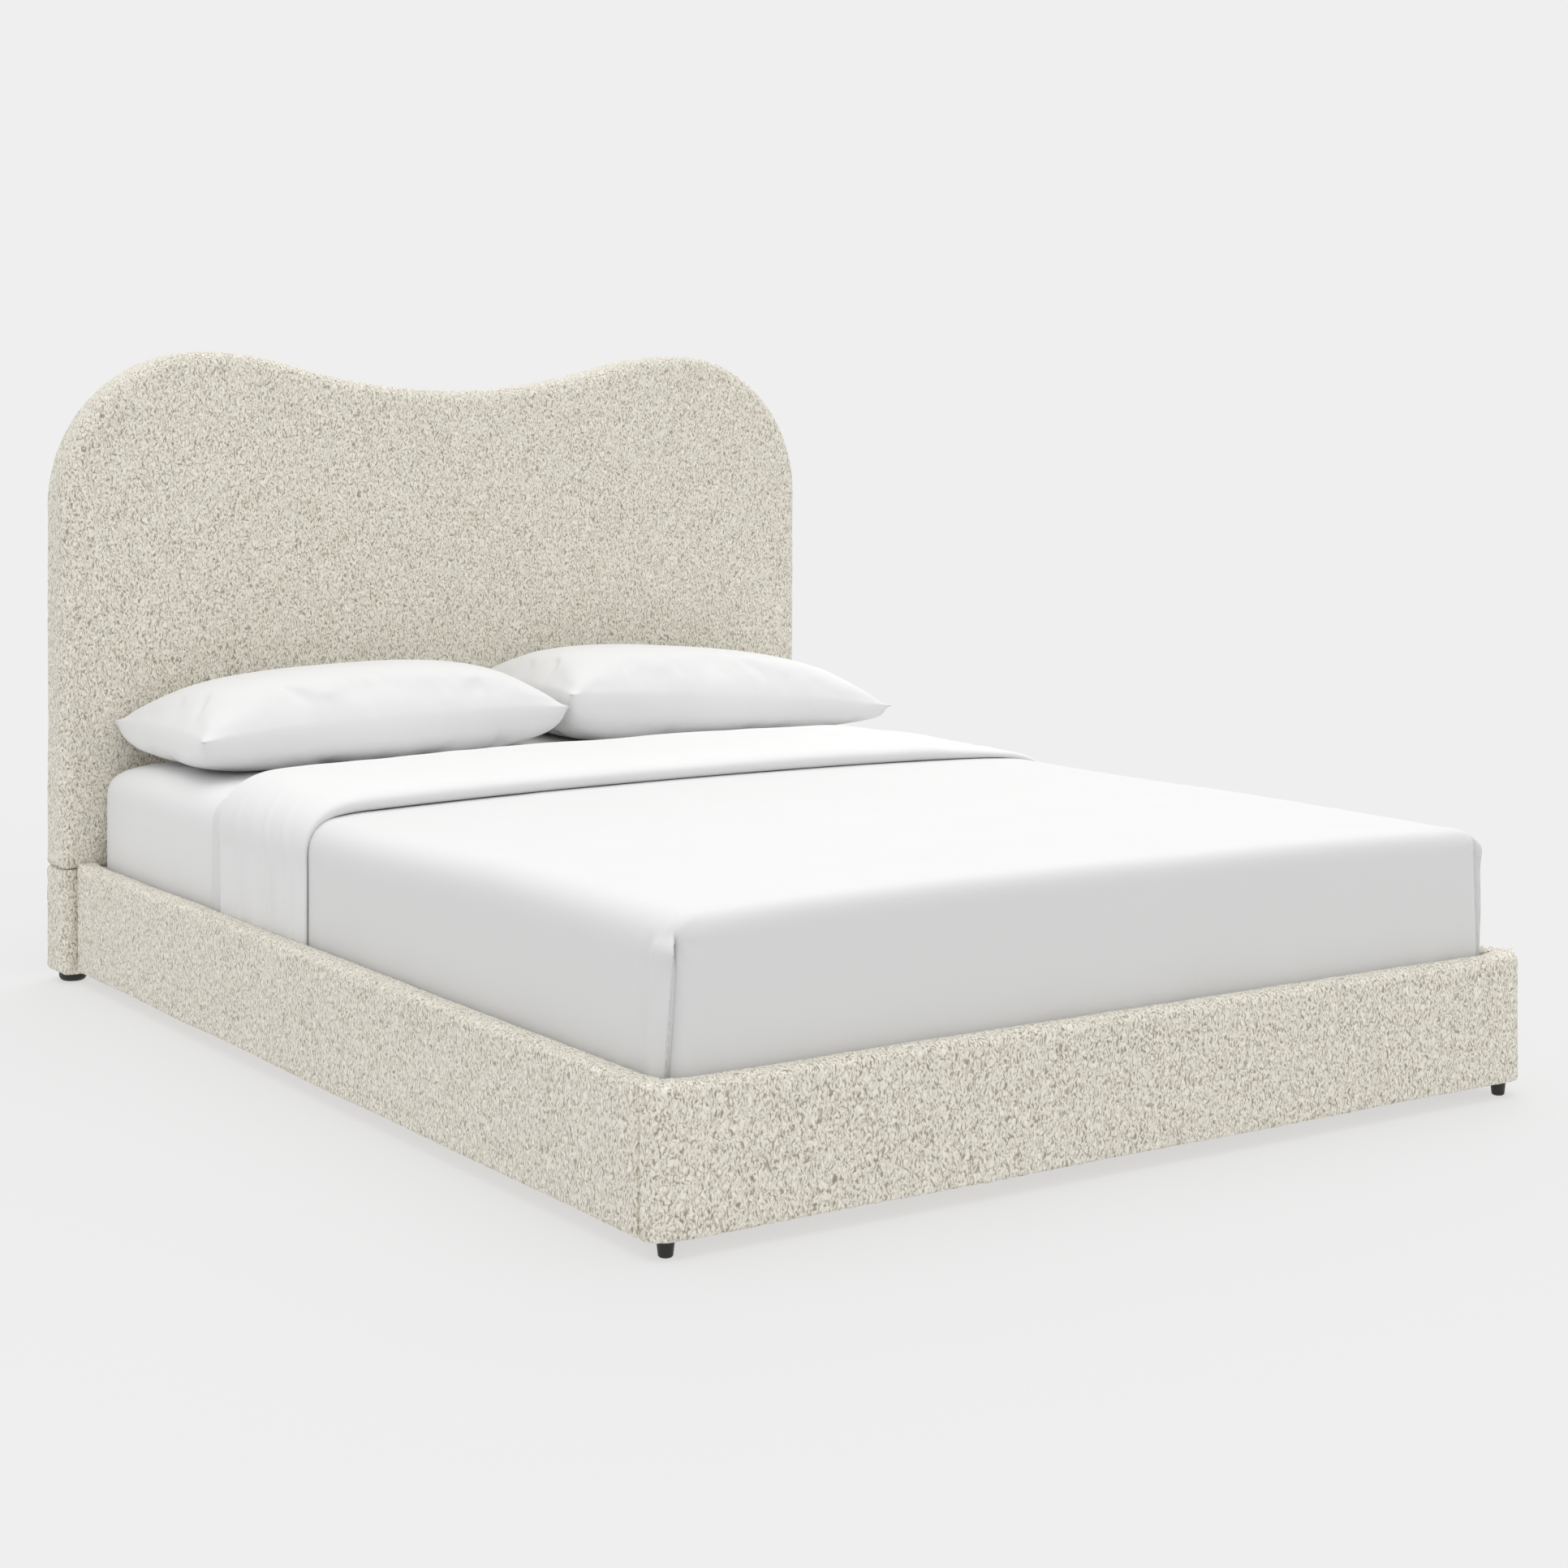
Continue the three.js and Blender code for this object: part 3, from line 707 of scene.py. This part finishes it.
# %% Rails
SEWN, ROLLED = 5 * MM, 17 * MM
SEAM_ROUND = 8 * MM
BUTT_ROUND = 7 * MM
WRAP_ROUND = 34 * MM
shadow_gap = 3.5 * MM


def make_rail(side, radii, seed):
    low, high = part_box(f"{side}_rail_padding")
    board_low, board_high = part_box(f"{side}_rail_board")
    long_way = side != "foot"
    if long_way:
        high.y -= shadow_gap
    spots, out = evenly(rounded_box(low[:2], high[:2], radii), FABRIC_STEP)
    if long_way:
        from_seam = np.minimum(spots[:, 1] - low.y, high.y - spots[:, 1])
        across = np.abs(out[:, 1])
        inset = tight_at(from_seam, 40 * MM, SEWN, ROLLED) * (1 - across) + SEWN * across
        pocket_low = (board_low.x - board_gap, low.y + 9 * MM)
        pocket_high = (board_high.x + board_gap, high.y - 9 * MM)
    else:
        inner = tight_at(rails_half - 30 * MM - np.abs(spots[:, 0]), 40 * MM, SEWN, ROLLED)
        outer = tight_at(high.y - spots[:, 1], WRAP_ROUND, SEWN, ROLLED)
        inset = np.where(out[:, 1] > 0.1, inner, outer)
        pocket_low = (board_low.x - board_gap, board_low.y - board_gap)
        pocket_high = (board_high.x + board_gap, board_high.y + board_gap)
    pocket = evenly(rounded_box(pocket_low, pocket_high, (1.5 * MM,) * 4), 12 * MM)[0]
    place = lambda u, v, w: np.column_stack([u, v, high.z - w])
    padded_section(f"{side}_rail_upholstery", f"{side}_rail_padding", (spots, out), place,
                   high.z - low.z, (inset, inset * 0.72), (3 * MM, 5 * MM), pocket,
                   high.z - board_high.z - board_gap, seed)


make_rail("left", (SEAM_ROUND, SEAM_ROUND, BUTT_ROUND, SEAM_ROUND), 30)
make_rail("right", (SEAM_ROUND, BUTT_ROUND, SEAM_ROUND, SEAM_ROUND), 35)
make_rail("foot", (WRAP_ROUND, SEAM_ROUND, SEAM_ROUND, WRAP_ROUND), 40)

# %% [markdown]
# ## Dust covers
# Thin black non-woven cloth is stapled over the headboard's open back. It is pulled tight, so it
# only ripples a little between its staples.


# %% Dust covers
STAPLE_STEP = 70 * MM


def make_dust_covers():
    cover_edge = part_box("headboard_back_cover")[1].x
    curve = headboard_curve(headboard_half - cover_edge + 1 * MM, 3 * MM)
    for node, behind in (("headboard_back_cover", "headboard_upper_upholstery"),
                         ("headboard_base_back_cover", "headboard_lower_upholstery")):
        low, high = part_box(node)
        square = rounded_box((low.x, low.z), (high.x, high.z), (3 * MM,) * 4)
        loop = evenly(square if "base" in node else curve, 20 * MM)[0]
        loop = np.clip(loop, (low.x + MM, low.z + MM), (high.x - MM, high.z - MM))
        points, faces = fill([loop], inner_points(loop, 22 * MM))
        ripple = 0.5 * MM * smooth_noise(np.column_stack([points, 0 * points[:, 0]]), 90 * MM, 51)
        staples = 0.3 * MM * np.sin(2 * math.pi * (points[:, 0] + points[:, 1]) / STAPLE_STEP)
        spots = np.column_stack([points[:, 0], high.y - 1 * MM + ripple + staples, points[:, 1]])
        outside = [tuple(corners[::-1]) for corners in faces]
        piece = build(node.replace("cover", "dust_cover"), spots, outside, dust_cover)
        thicken(piece, 0.6 * MM)
        stand_in(piece, node, "frame")


make_dust_covers()

# %% [markdown]
# ## Soft block
# The mattress, the fitted sheet and the blanket share one shape: a block with upright sides, a soft
# shoulder that starts well in from the edge, and a slightly crowned top. It is built as rings round
# a filled middle. The rings draw in over the shoulder and their corners get rounder as they do.


# %% Soft block
UNDER_EDGE = (60 * MM, 40 * MM)
CROWN_START = 60 * MM


def shoulder(wide, deep, steps):
    """How far in and how far down the rings of a shoulder lie, from the top down."""
    turn = np.linspace(0, math.pi / 2, 200)
    inset, drop = wide * (1 - np.sin(turn) ** (2 / 3)), deep * (1 - np.cos(turn) ** (2 / 3))
    run = np.concatenate([[0], np.cumsum(np.hypot(np.diff(inset), np.diff(drop)))])
    at = np.linspace(0, run[-1], steps)
    return np.column_stack([np.interp(at, run, inset), np.interp(at, run, drop)])


def drawn_in(outline, low, high, corner, inset):
    """An outline moved inwards, with rounder corners the further in it goes."""
    points, out = outline
    middle, half = (low + high) / 2, (high - low) / 2
    rounder = corner + 0.55 * inset
    centres = points - out * corner - middle
    return middle + centres * (half - inset - rounder) / (half - corner) + out * rounder


def crown_at(x):
    """How far the bed's top swells above its shoulders."""
    across = np.clip(np.abs(x) / mattress_high.x, 0, 1)
    return top_crown * (1 - across ** 2.2)


def soft_block(name, low, high, spacing, material, grow=0.0, closed=False, finer=None,
               side_step=None, edge=(top_edge, top_drop)):
    """A block's top and sides as one surface, open below unless closed."""
    corner, plan_low, plan_high = mattress_corner + grow, np.array(low[:2]), np.array(high[:2])
    outline = evenly(rounded_box(plan_low, plan_high, (corner,) * 4), spacing, finer)
    count, tall = len(outline[0]), high.z - low.z
    levels = [(inset, drop) for inset, drop in shoulder(*edge, 14)]
    end = tall - (UNDER_EDGE[1] if closed else 0)
    down = np.linspace(edge[1], end, 2 + round((end - edge[1]) / (side_step or spacing)))
    levels += [(0, drop) for drop in down[1:]]
    if closed:
        under = shoulder(*UNDER_EDGE, 7)[::-1]
        levels += [(inset, tall - drop) for inset, drop in under[1:]]
    rings = [drawn_in(outline, plan_low, plan_high, corner, inset) for inset, _ in levels]
    top, face = fill([rings[0]], inner_points(rings[0], spacing))
    flat = [np.column_stack([top, np.full(len(top), high.z)])]
    for loop, (_, drop) in zip(rings[1:], levels[1:]):
        flat.append(np.column_stack([loop, np.full(count, high.z - drop)]))
    starts = [0] + [len(top) + index * count for index in range(len(rings) - 1)]
    faces = [tuple(corners) for corners in face] + joined_rings(starts, count)
    if closed:
        under, face = fill([rings[-1]], inner_points(rings[-1], 2 * spacing))
        extra, total = len(under) - count, starts[-1] + count
        flat.append(np.column_stack([under[count:], np.full(extra, low.z)]))
        renamed = np.concatenate([starts[-1] + np.arange(count), total + np.arange(extra)])
        faces += [tuple(renamed[corners][::-1]) for corners in face]
    spots = np.vstack(flat)
    above = step_up(spots[:, 2], low.z + CROWN_START, high.z)
    spots[:, 2] += above * (crown_at(spots[:, 0]) - crown_sink)
    return build(name, spots, faces, material)


def cut_across(piece, place):
    """Keeps what lies towards the foot of a place along the bed."""
    mesh = bmesh.new()
    mesh.from_mesh(piece.data)
    everything = mesh.verts[:] + mesh.edges[:] + mesh.faces[:]
    bmesh.ops.bisect_plane(mesh, geom=everything, plane_co=(0, place, 0), plane_no=(0, 1, 0),
                           clear_outer=True)
    mesh.to_mesh(piece.data)
    mesh.free()
    piece.data.polygons.foreach_set("use_smooth", [True] * len(piece.data.polygons))
    piece.data.update()


# %% [markdown]
# ## Mattress and fitted sheet
# The bedding hides the mattress, except from below. The fitted sheet is pulled tight by its elastic,
# so it shows only faint waves on its sides.

# %% Mattress and fitted sheet
LINEN_STEP = 14 * MM


def make_mattress():
    piece = soft_block("mattress_block", mattress_low, mattress_high, 26 * MM, ticking, closed=True)
    face_up(piece)
    stand_in(piece, "mattress", "mattress")


def make_fitted_sheet():
    piece = soft_block("fitted_bottom_sheet", sheet_low, sheet_high, 1.3 * LINEN_STEP, sheet_linen,
                       grow=2 * MM)
    spots, ways = spots_of(piece), outward(piece)
    below = step_up(sheet_high.z - spots[:, 2], 30 * MM, 160 * MM)
    upright = spots * (1, 1, 0.25)
    lift = 1 * MM + below * 0.7 * MM * smooth_noise(upright, 70 * MM, 61)
    spots += ways * lift[:, None]
    move_to(piece, spots)
    thicken(piece, 0.8 * MM)
    stand_in(piece, "fitted_sheet", "mattress")


make_mattress()
make_fitted_sheet()

# %% [markdown]
# ## Blanket
# The blanket is tucked in with hospital corners. At each foot corner the side flap laps over the
# end flap along an upright crease that starts under the shoulder, with small puckers fanning out
# from its tip. The outline is cut finer there, and the lip of the flap leans over the end flap, so
# that the crease casts a thin shadow.

# %% Blanket
blanket_corner = mattress_corner + 5 * MM
foot_centre_y = blanket_low.y + blanket_corner
PAST_CORNER = 7 * MM
RIDGE_TALL, FAN_TALL, LIP_LEAN = 2.6 * MM, 1.1 * MM, 0.28


def corner_run(spots, side):
    """Distance along the outline from a corner's middle, positive towards the middle of the foot."""
    centre = np.array([side * (blanket_high.x - blanket_corner), foot_centre_y])
    away = (spots[:, :2] - centre) * (side, 1)
    angle = np.arctan2(-away[:, 1], away[:, 0]) - math.radians(45)
    quarter = math.pi / 4
    round_part = np.where((away[:, 0] > 0) & (away[:, 1] < 0), np.clip(angle, -quarter, quarter), 0)
    on_foot, on_side = np.clip(-away[:, 0], 0, None), np.clip(away[:, 1], 0, None)
    flat = np.where(on_side > 0, -quarter, np.where(on_foot > 0, quarter, 0))
    return (round_part + flat) * blanket_corner + on_foot - on_side


def near_corners(plan):
    """How many times finer the outline is cut, which is most at the creases of the foot corners."""
    nearest = np.minimum(np.abs(corner_run(plan, -1)), np.abs(corner_run(plan, 1)))
    towards_foot = plan[:, 1] < foot_centre_y + 60 * MM
    return 1 + (9 * bell(nearest, 13 * MM) + 2.5 * bell(nearest, 60 * MM)) * towards_foot


def hospital_corner(spots, ways, side, height, tip, lean, seed):
    """Raises the side flap's edge, leans it over the end flap and puckers the cloth at its tip."""
    below = tip - spots[:, 2]
    run = corner_run(spots, side) + lean * below - PAST_CORNER
    near = (np.abs(run) < 160 * MM) & (spots[:, 1] < foot_centre_y + 120 * MM)
    down = step_up(below, -6 * MM, 16 * MM)
    edge = np.where(run < 0, np.exp(np.minimum(run, 0) / (22 * MM)), step_up(-run, -2 * MM, 0))
    groove = 0.5 * bell(run - 2.5 * MM, 2.5 * MM)
    groove += 0.3 * np.exp(-np.abs(run - 3 * MM) / (18 * MM)) * (run > 0)
    valley = 0.3 * bell(run + 40 * MM, 14 * MM)
    beak = 1 + 0.5 * bell(below - 16 * MM, 18 * MM)
    fade = 1 - 0.5 * step_up(below, 90 * MM, 180 * MM)
    lift = down * height * (edge * beak - groove - valley) * fade
    reach, turn = np.hypot(run, below), np.arctan2(-below, run)
    ridge = bell(turn - 0.95, 0.28) * np.exp(-reach / (28 * MM)) * step_up(reach, 2 * MM, 10 * MM)
    fan = np.cos(turn * 9 + seed) * np.exp(-reach / (38 * MM))
    fan *= step_up(run, -4 * MM, 14 * MM) * step_up(reach, 6 * MM, 24 * MM)
    lift += near * (RIDGE_TALL * ridge + FAN_TALL * fan)
    along = np.column_stack([side * ways[:, 1], -side * ways[:, 0], np.zeros(len(ways))])
    lip = down * bell(np.minimum(run, 0), 5 * MM) * (run <= 0.5 * MM)
    return ways * (near * lift)[:, None] + along * (near * lip * LIP_LEAN * height)[:, None]


def blunted(spots, share):
    """Presses the long top edges towards the sheet's rounder shoulder, by a share from 0 to 1."""
    wide, deep = top_edge, top_drop
    aside = np.clip(wide - (blanket_high.x - np.abs(spots[:, 0])), 0, wide)
    above = np.clip(deep - (blanket_high.z - spots[:, 2]), 0, deep)
    excess = np.maximum(((aside / wide) ** 3 + (above / deep) ** 3) ** (1 / 3), 1)
    pressed = spots.copy()
    pressed[:, 0] -= np.sign(spots[:, 0]) * aside * (1 - 1 / excess) * share
    pressed[:, 2] -= above * (1 - 1 / excess) * share
    return pressed


def make_blanket():
    whole_high = Vector((blanket_high.x, sheet_high.y + 20 * MM, blanket_high.z))
    piece = soft_block("tucked_blanket", blanket_low, whole_high, LINEN_STEP, bed_linen, grow=5 * MM,
                       finer=near_corners, side_step=8 * MM, edge=(44 * MM, 38 * MM))
    spots, ways = spots_of(piece), outward(piece)
    side = step_up(blanket_high.z - spots[:, 2], 30 * MM, 200 * MM)
    upright = spots * (1, 1, 0.16)
    hang = 1.5 * MM * (smooth_noise(upright, 90 * MM, 71) + 0.5)
    hang += 0.5 * MM * smooth_noise(upright, 28 * MM, 72)
    lift = side * hang
    lift += 0.8 * MM * smooth_noise(spots, 240 * MM, 73) + 0.3 * MM * smooth_noise(spots, 60 * MM, 74)
    squarer_foot = step_up(spots[:, 1], -1200 * MM, -1000 * MM)
    moved = blunted(spots, squarer_foot) + ways * lift[:, None]
    footward = step_up(foot_centre_y + 900 * MM - spots[:, 1], 0, 500 * MM)
    leftward = step_up(-spots[:, 0], -200 * MM, 700 * MM)
    moved[:, 2] += (1 - side) * footward * (5 * MM + 9 * MM * leftward)
    moved += hospital_corner(spots, ways, -1, 15 * MM, blanket_high.z - 30 * MM, 0.07, 0.4)
    moved += hospital_corner(spots, ways, 1, 7 * MM, blanket_high.z - 20 * MM, 0.03, 2.0)
    move_to(piece, moved)
    cut_across(piece, blanket_high.y)
    thicken(piece, 2 * MM)
    stand_in(piece, "blanket", "mattress")


make_blanket()

# %% [markdown]
# ## Turned-down band
# The top sheet and blanket are folded back on themselves below the pillows. The fold is lofty on
# top of the bed, with a rolled hem, and is pulled thin down the sides, where it slants towards the
# foot and falls in soft folds. It is one cloth: its cross-section starts under the hem, rolls round
# it, runs to the fold and rolls under there.


# %% Band
BAND_THICK = 30 * MM
ROLL_SOFT, ROLL_TIGHT = 42 * MM, 13 * MM
SIDE_FOLDS = ((0.14, 0.03, 4 * MM), (0.37, 0.026, 7.5 * MM), (0.55, 0.05, 3 * MM), (0.76, 0.028, 6.5 * MM))


def across_the_bed(spacing):
    """The bed's top and sides in cross-section, as rows of x and z, and the outward directions."""
    half, top, low = blanket_high.x, blanket_high.z, band_low.z + crown_sink
    roll = shoulder(top_edge, top_drop, 16)
    flat = np.linspace(0, half - top_edge, round((half - top_edge) / spacing))
    fall = np.linspace(top - top_drop, low, round((top - top_drop - low) / spacing))
    x = np.concatenate([flat, half - roll[1:-1, 0], 0 * fall + half])
    z = np.concatenate([0 * flat + top, top - roll[1:-1, 1], fall])
    z += step_up(z, low + CROWN_START, top) * (crown_at(x) - crown_sink)
    line = np.column_stack([x, z])
    line = np.vstack([line[:0:-1] * (-1, 1), line])
    ahead = np.gradient(line, axis=0)
    ahead /= np.linalg.norm(ahead, axis=1)[:, None]
    return line, np.column_stack([-ahead[:, 1], ahead[:, 0]])


def band_profile():
    """The folded cloth's outside, from under the hem to under the fold, as rows of place (0 at the
    hem, 1 at the fold), reach in from there, and height. Its rolls are tight below and soft above."""
    turn = np.radians(np.linspace(-80, 90, 18))
    roll = np.where(turn > 0, ROLL_SOFT, ROLL_TIGHT) * (1 - np.cos(turn))
    height = 0.5 + 0.5 * np.sin(turn)
    share = np.linspace(0, 1, 56)[1:-1]
    hem = np.column_stack([0 * turn, roll, height])
    level = np.column_stack([share, roll[-1] * (1 - 2 * share), 0 * share + 1])
    fold = np.column_stack([0 * turn + 1, -roll, height])[::-1]
    return np.vstack([hem, level, fold])


def make_band():
    line, ways = across_the_bed(LINEN_STEP * 0.8)
    profile = band_profile()
    run = np.concatenate([[0], np.cumsum(np.hypot(*np.diff(line, axis=0).T))])
    from_edge = run[-1] / 2 - np.abs(run - run[-1] / 2)
    edge_run = blanket_high.z - top_drop - line[0, 1]
    down = 1 - step_up(from_edge, edge_run - 20 * MM, edge_run + 130 * MM)
    slant = 1 - step_up(from_edge, edge_run + 10 * MM, edge_run + 170 * MM)
    hem = band_low.y - 20 * MM - 42 * MM * slant
    fold = band_high.y - 55 * MM * slant
    place, reach, height = profile.T[:, :, None]
    far_end = step_up(line[:, 0], 480 * MM, 720 * MM)
    thick = (BAND_THICK + 9 * MM * place) * (1 - 0.77 * np.maximum(down, 0.75 * far_end))
    y = hem + (fold - hem) * place + reach * thick / BAND_THICK
    spread = lambda values: np.broadcast_to(values, y.shape)
    spots = np.stack([spread(line[:, 0]), y, spread(line[:, 1])], axis=2).reshape(-1, 3)
    out = np.stack([spread(ways[:, 0]), 0 * y, spread(ways[:, 1])], axis=2).reshape(-1, 3)
    aside, share, loft = (spread(values).ravel() for values in (down, place, height))
    up = (1.2 * MM + height * thick).ravel()
    soft = 1.6 * MM * smooth_noise(spots, 150 * MM, 81) + 0.5 * MM * smooth_noise(spots, 45 * MM, 82)
    folds = np.zeros(len(spots))
    for where, wide, high in SIDE_FOLDS:
        off = share - (where + 0.16 * (1 - aside))
        folds += high * (bell(off, wide) - 0.35 * bell(off, 2.5 * wide))
    up += loft * (soft + folds * aside)
    spots += out * up[:, None]
    faces = joined_rows(np.arange(len(spots)).reshape(y.shape))
    piece = build("turned_down_top_sheet", spots, faces, sheet_linen)
    thicken(piece, 1.6 * MM)
    stand_in(piece, "turned_down_band", "mattress")
    print("band length", round(run[-1], 3))


make_band()

# %% [markdown]
# ## Pillows
# A pillow is two pieces of cloth sewn together and stuffed. It starts as a lens with pulled-in
# edges and pointed corners. Cloth simulation with pressure inside then fills it, which tightens the
# faces and puckers the seam. The result is fitted to the pillow's place and pressed flat where it
# rests on the bed.


# %% Pillows
pillow_seam = 0.46
pillow_sink = 3 * MM
SEAM_LIP, PRESS_SOFT, BELLY = 4 * MM, 10 * MM, 25 * MM


def pillow_lens(name, size, step, seed):
    """Two layers of cloth joined round their edge, already half full."""
    nx, ny = round(size.x / step), round(size.y / step)
    u, v = np.meshgrid(np.linspace(-1, 1, nx + 1), np.linspace(-1, 1, ny + 1))
    u, v = u.ravel(), v.ravel()
    edge = (np.abs(u) > 1 - 1e-6) | (np.abs(v) > 1 - 1e-6)
    x = size.x / 2 * u * (1 - 0.05 * (1 - v ** 2) * np.abs(u) ** 3)
    y = size.y / 2 * v * (1 - 0.07 * (1 - u ** 2) * np.abs(v) ** 3)
    full = np.clip((1 - np.abs(u) ** 2.8) * (1 - np.abs(v) ** 2.4), 0, 1) ** 0.58
    plan = np.column_stack([x, y])
    gather = smooth_noise(np.column_stack([3 * x, 3 * y, 0 * x]), 60 * MM, seed)
    gather = gather * 2 * MM * (1 - edge) * (1 - full)
    top = np.column_stack([plan, (1 - pillow_seam) * size.z * full + gather])
    names = np.arange(len(plan))
    under = np.where(edge, names, 0)
    inner = np.flatnonzero(~edge)
    under[inner] = len(plan) + np.arange(len(inner))
    low = np.column_stack([plan, -pillow_seam * size.z * 1.25 * full ** 0.5 + gather])[inner]
    faces = joined_rows(names.reshape(ny + 1, nx + 1))
    faces += [tuple(under[list(corners)][::-1]) for corners in faces]
    return build(name, np.vstack([top, low]), faces, pillow_linen), np.flatnonzero(edge)


def inflate(piece, pressure, frames, most):
    """Cloth simulation with pressure inside and no gravity, applied to the mesh."""
    before = spots_of(piece)
    cloth = piece.modifiers.new("stuffing", "CLOTH")
    settings = cloth.settings
    settings.quality = 6
    settings.mass = 0.2
    settings.tension_stiffness = settings.compression_stiffness = 15
    settings.shear_stiffness = 5
    settings.bending_stiffness = 0.6
    settings.use_pressure = True
    settings.uniform_pressure_force = pressure
    settings.effector_weights.gravity = 0
    cloth.point_cache.frame_end = frames
    for moment in range(1, frames + 1):
        bpy.context.scene.frame_set(moment)
    apply_modifiers(piece)
    bpy.context.scene.frame_set(1)
    moved = spots_of(piece) - before
    far = np.linalg.norm(moved, axis=1)
    move_to(piece, before + moved * np.minimum(1, most / np.maximum(far, 1e-9))[:, None])


def make_pillow(side, seed, tilt):
    low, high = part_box(f"{side}_pillow")
    size, middle = high - low, (high + low) / 2
    piece, seam = pillow_lens(f"{side}_pillow_cover", size, 11 * MM, seed)
    inflate(piece, 4, 20, 22 * MM)
    spots = spots_of(piece)
    lows, highs = spots.min(0), spots.max(0)
    print(piece.name, "as stuffed", (highs - lows).round(3), "wanted", [round(v, 3) for v in size])
    spots = spots * (np.array(size) + (SEAM_LIP, SEAM_LIP, 0)) / (highs - lows)
    ridge = np.zeros(len(spots))
    ridge[seam] = 1
    away = spots * (1, 1, 0)
    away /= np.linalg.norm(away, axis=1)[:, None] + 1e-9
    spots += away * (ridge * SEAM_LIP)[:, None]
    floor = -pillow_seam * size.z
    below = floor + PRESS_SOFT - spots[:, 2]
    pressed = floor + PRESS_SOFT - PRESS_SOFT * np.tanh(below / PRESS_SOFT)
    spots[:, 2] = np.where(below > 0, pressed, spots[:, 2])
    from_seam = np.min(np.linalg.norm(spots[:, None] - spots[seam][None], axis=2), axis=1)
    spots[:, 2] *= 0.35 + 0.65 * step_up(from_seam, 4 * MM, 22 * MM)
    belly = np.sin(np.pi * np.clip(spots[:, 2] / floor, 0, 1) ** 1.6)
    belly = belly * (1 - step_up(from_seam, 60 * MM, 130 * MM))
    spots += away * (belly * BELLY)[:, None]
    spots[:, 2] += tilt * spots[:, 0] / (size.x / 2) * step_up(spots[:, 2], floor, 0)
    bed = sheet_high.z + crown_at(spots[:, 0] + middle.x) - pillow_sink
    spots += np.array([middle.x, middle.y, -floor])
    spots[:, 2] += bed
    move_to(piece, spots)
    crease = piece.data.attributes.new("crease_edge", "FLOAT", "EDGE")
    on_seam = set(seam.tolist())
    crease.data.foreach_set("value", [0.9 * (set(edge.vertices) <= on_seam) for edge in piece.data.edges])
    smooth = piece.modifiers.new("finer cloth", "SUBSURF")
    smooth.levels = smooth.render_levels = 1
    apply_modifiers(piece)
    face_up(piece)
    stand_in(piece, f"{side}_pillow", f"{side}_pillow")


make_pillow("left", 91, 4 * MM)
make_pillow("right", 95, -26 * MM)

# %% [markdown]
# ## Floor and finish
# The floor gives off part of its own light, as a lit studio floor seems to, so the bed's shadow on
# it stays faint.


# %% Floor and finish
FLOOR_HALF = 60
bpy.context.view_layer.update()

floor_mesh = bpy.data.meshes.new("floor")
floor_corners = [(FLOOR_HALF * x, FLOOR_HALF * y, 0) for x, y in ((-1, -1), (1, -1), (1, 1), (-1, 1))]
floor_mesh.from_pydata(floor_corners, [], [(0, 1, 2, 3)])
floor = bpy.data.objects.new("floor", floor_mesh)
bpy.context.scene.collection.objects.link(floor)
floor_finish = Finish("pale_floor", Roughness=0.9)
floor_finish.set("Specular IOR Level", 0.0)
floor_finish.set("Base Color", grey(0.2))
floor_finish.set("Emission Color", grey(1.0))
floor_finish.set("Emission Strength", 0.6)
floor_mesh.materials.append(floor_finish.material)
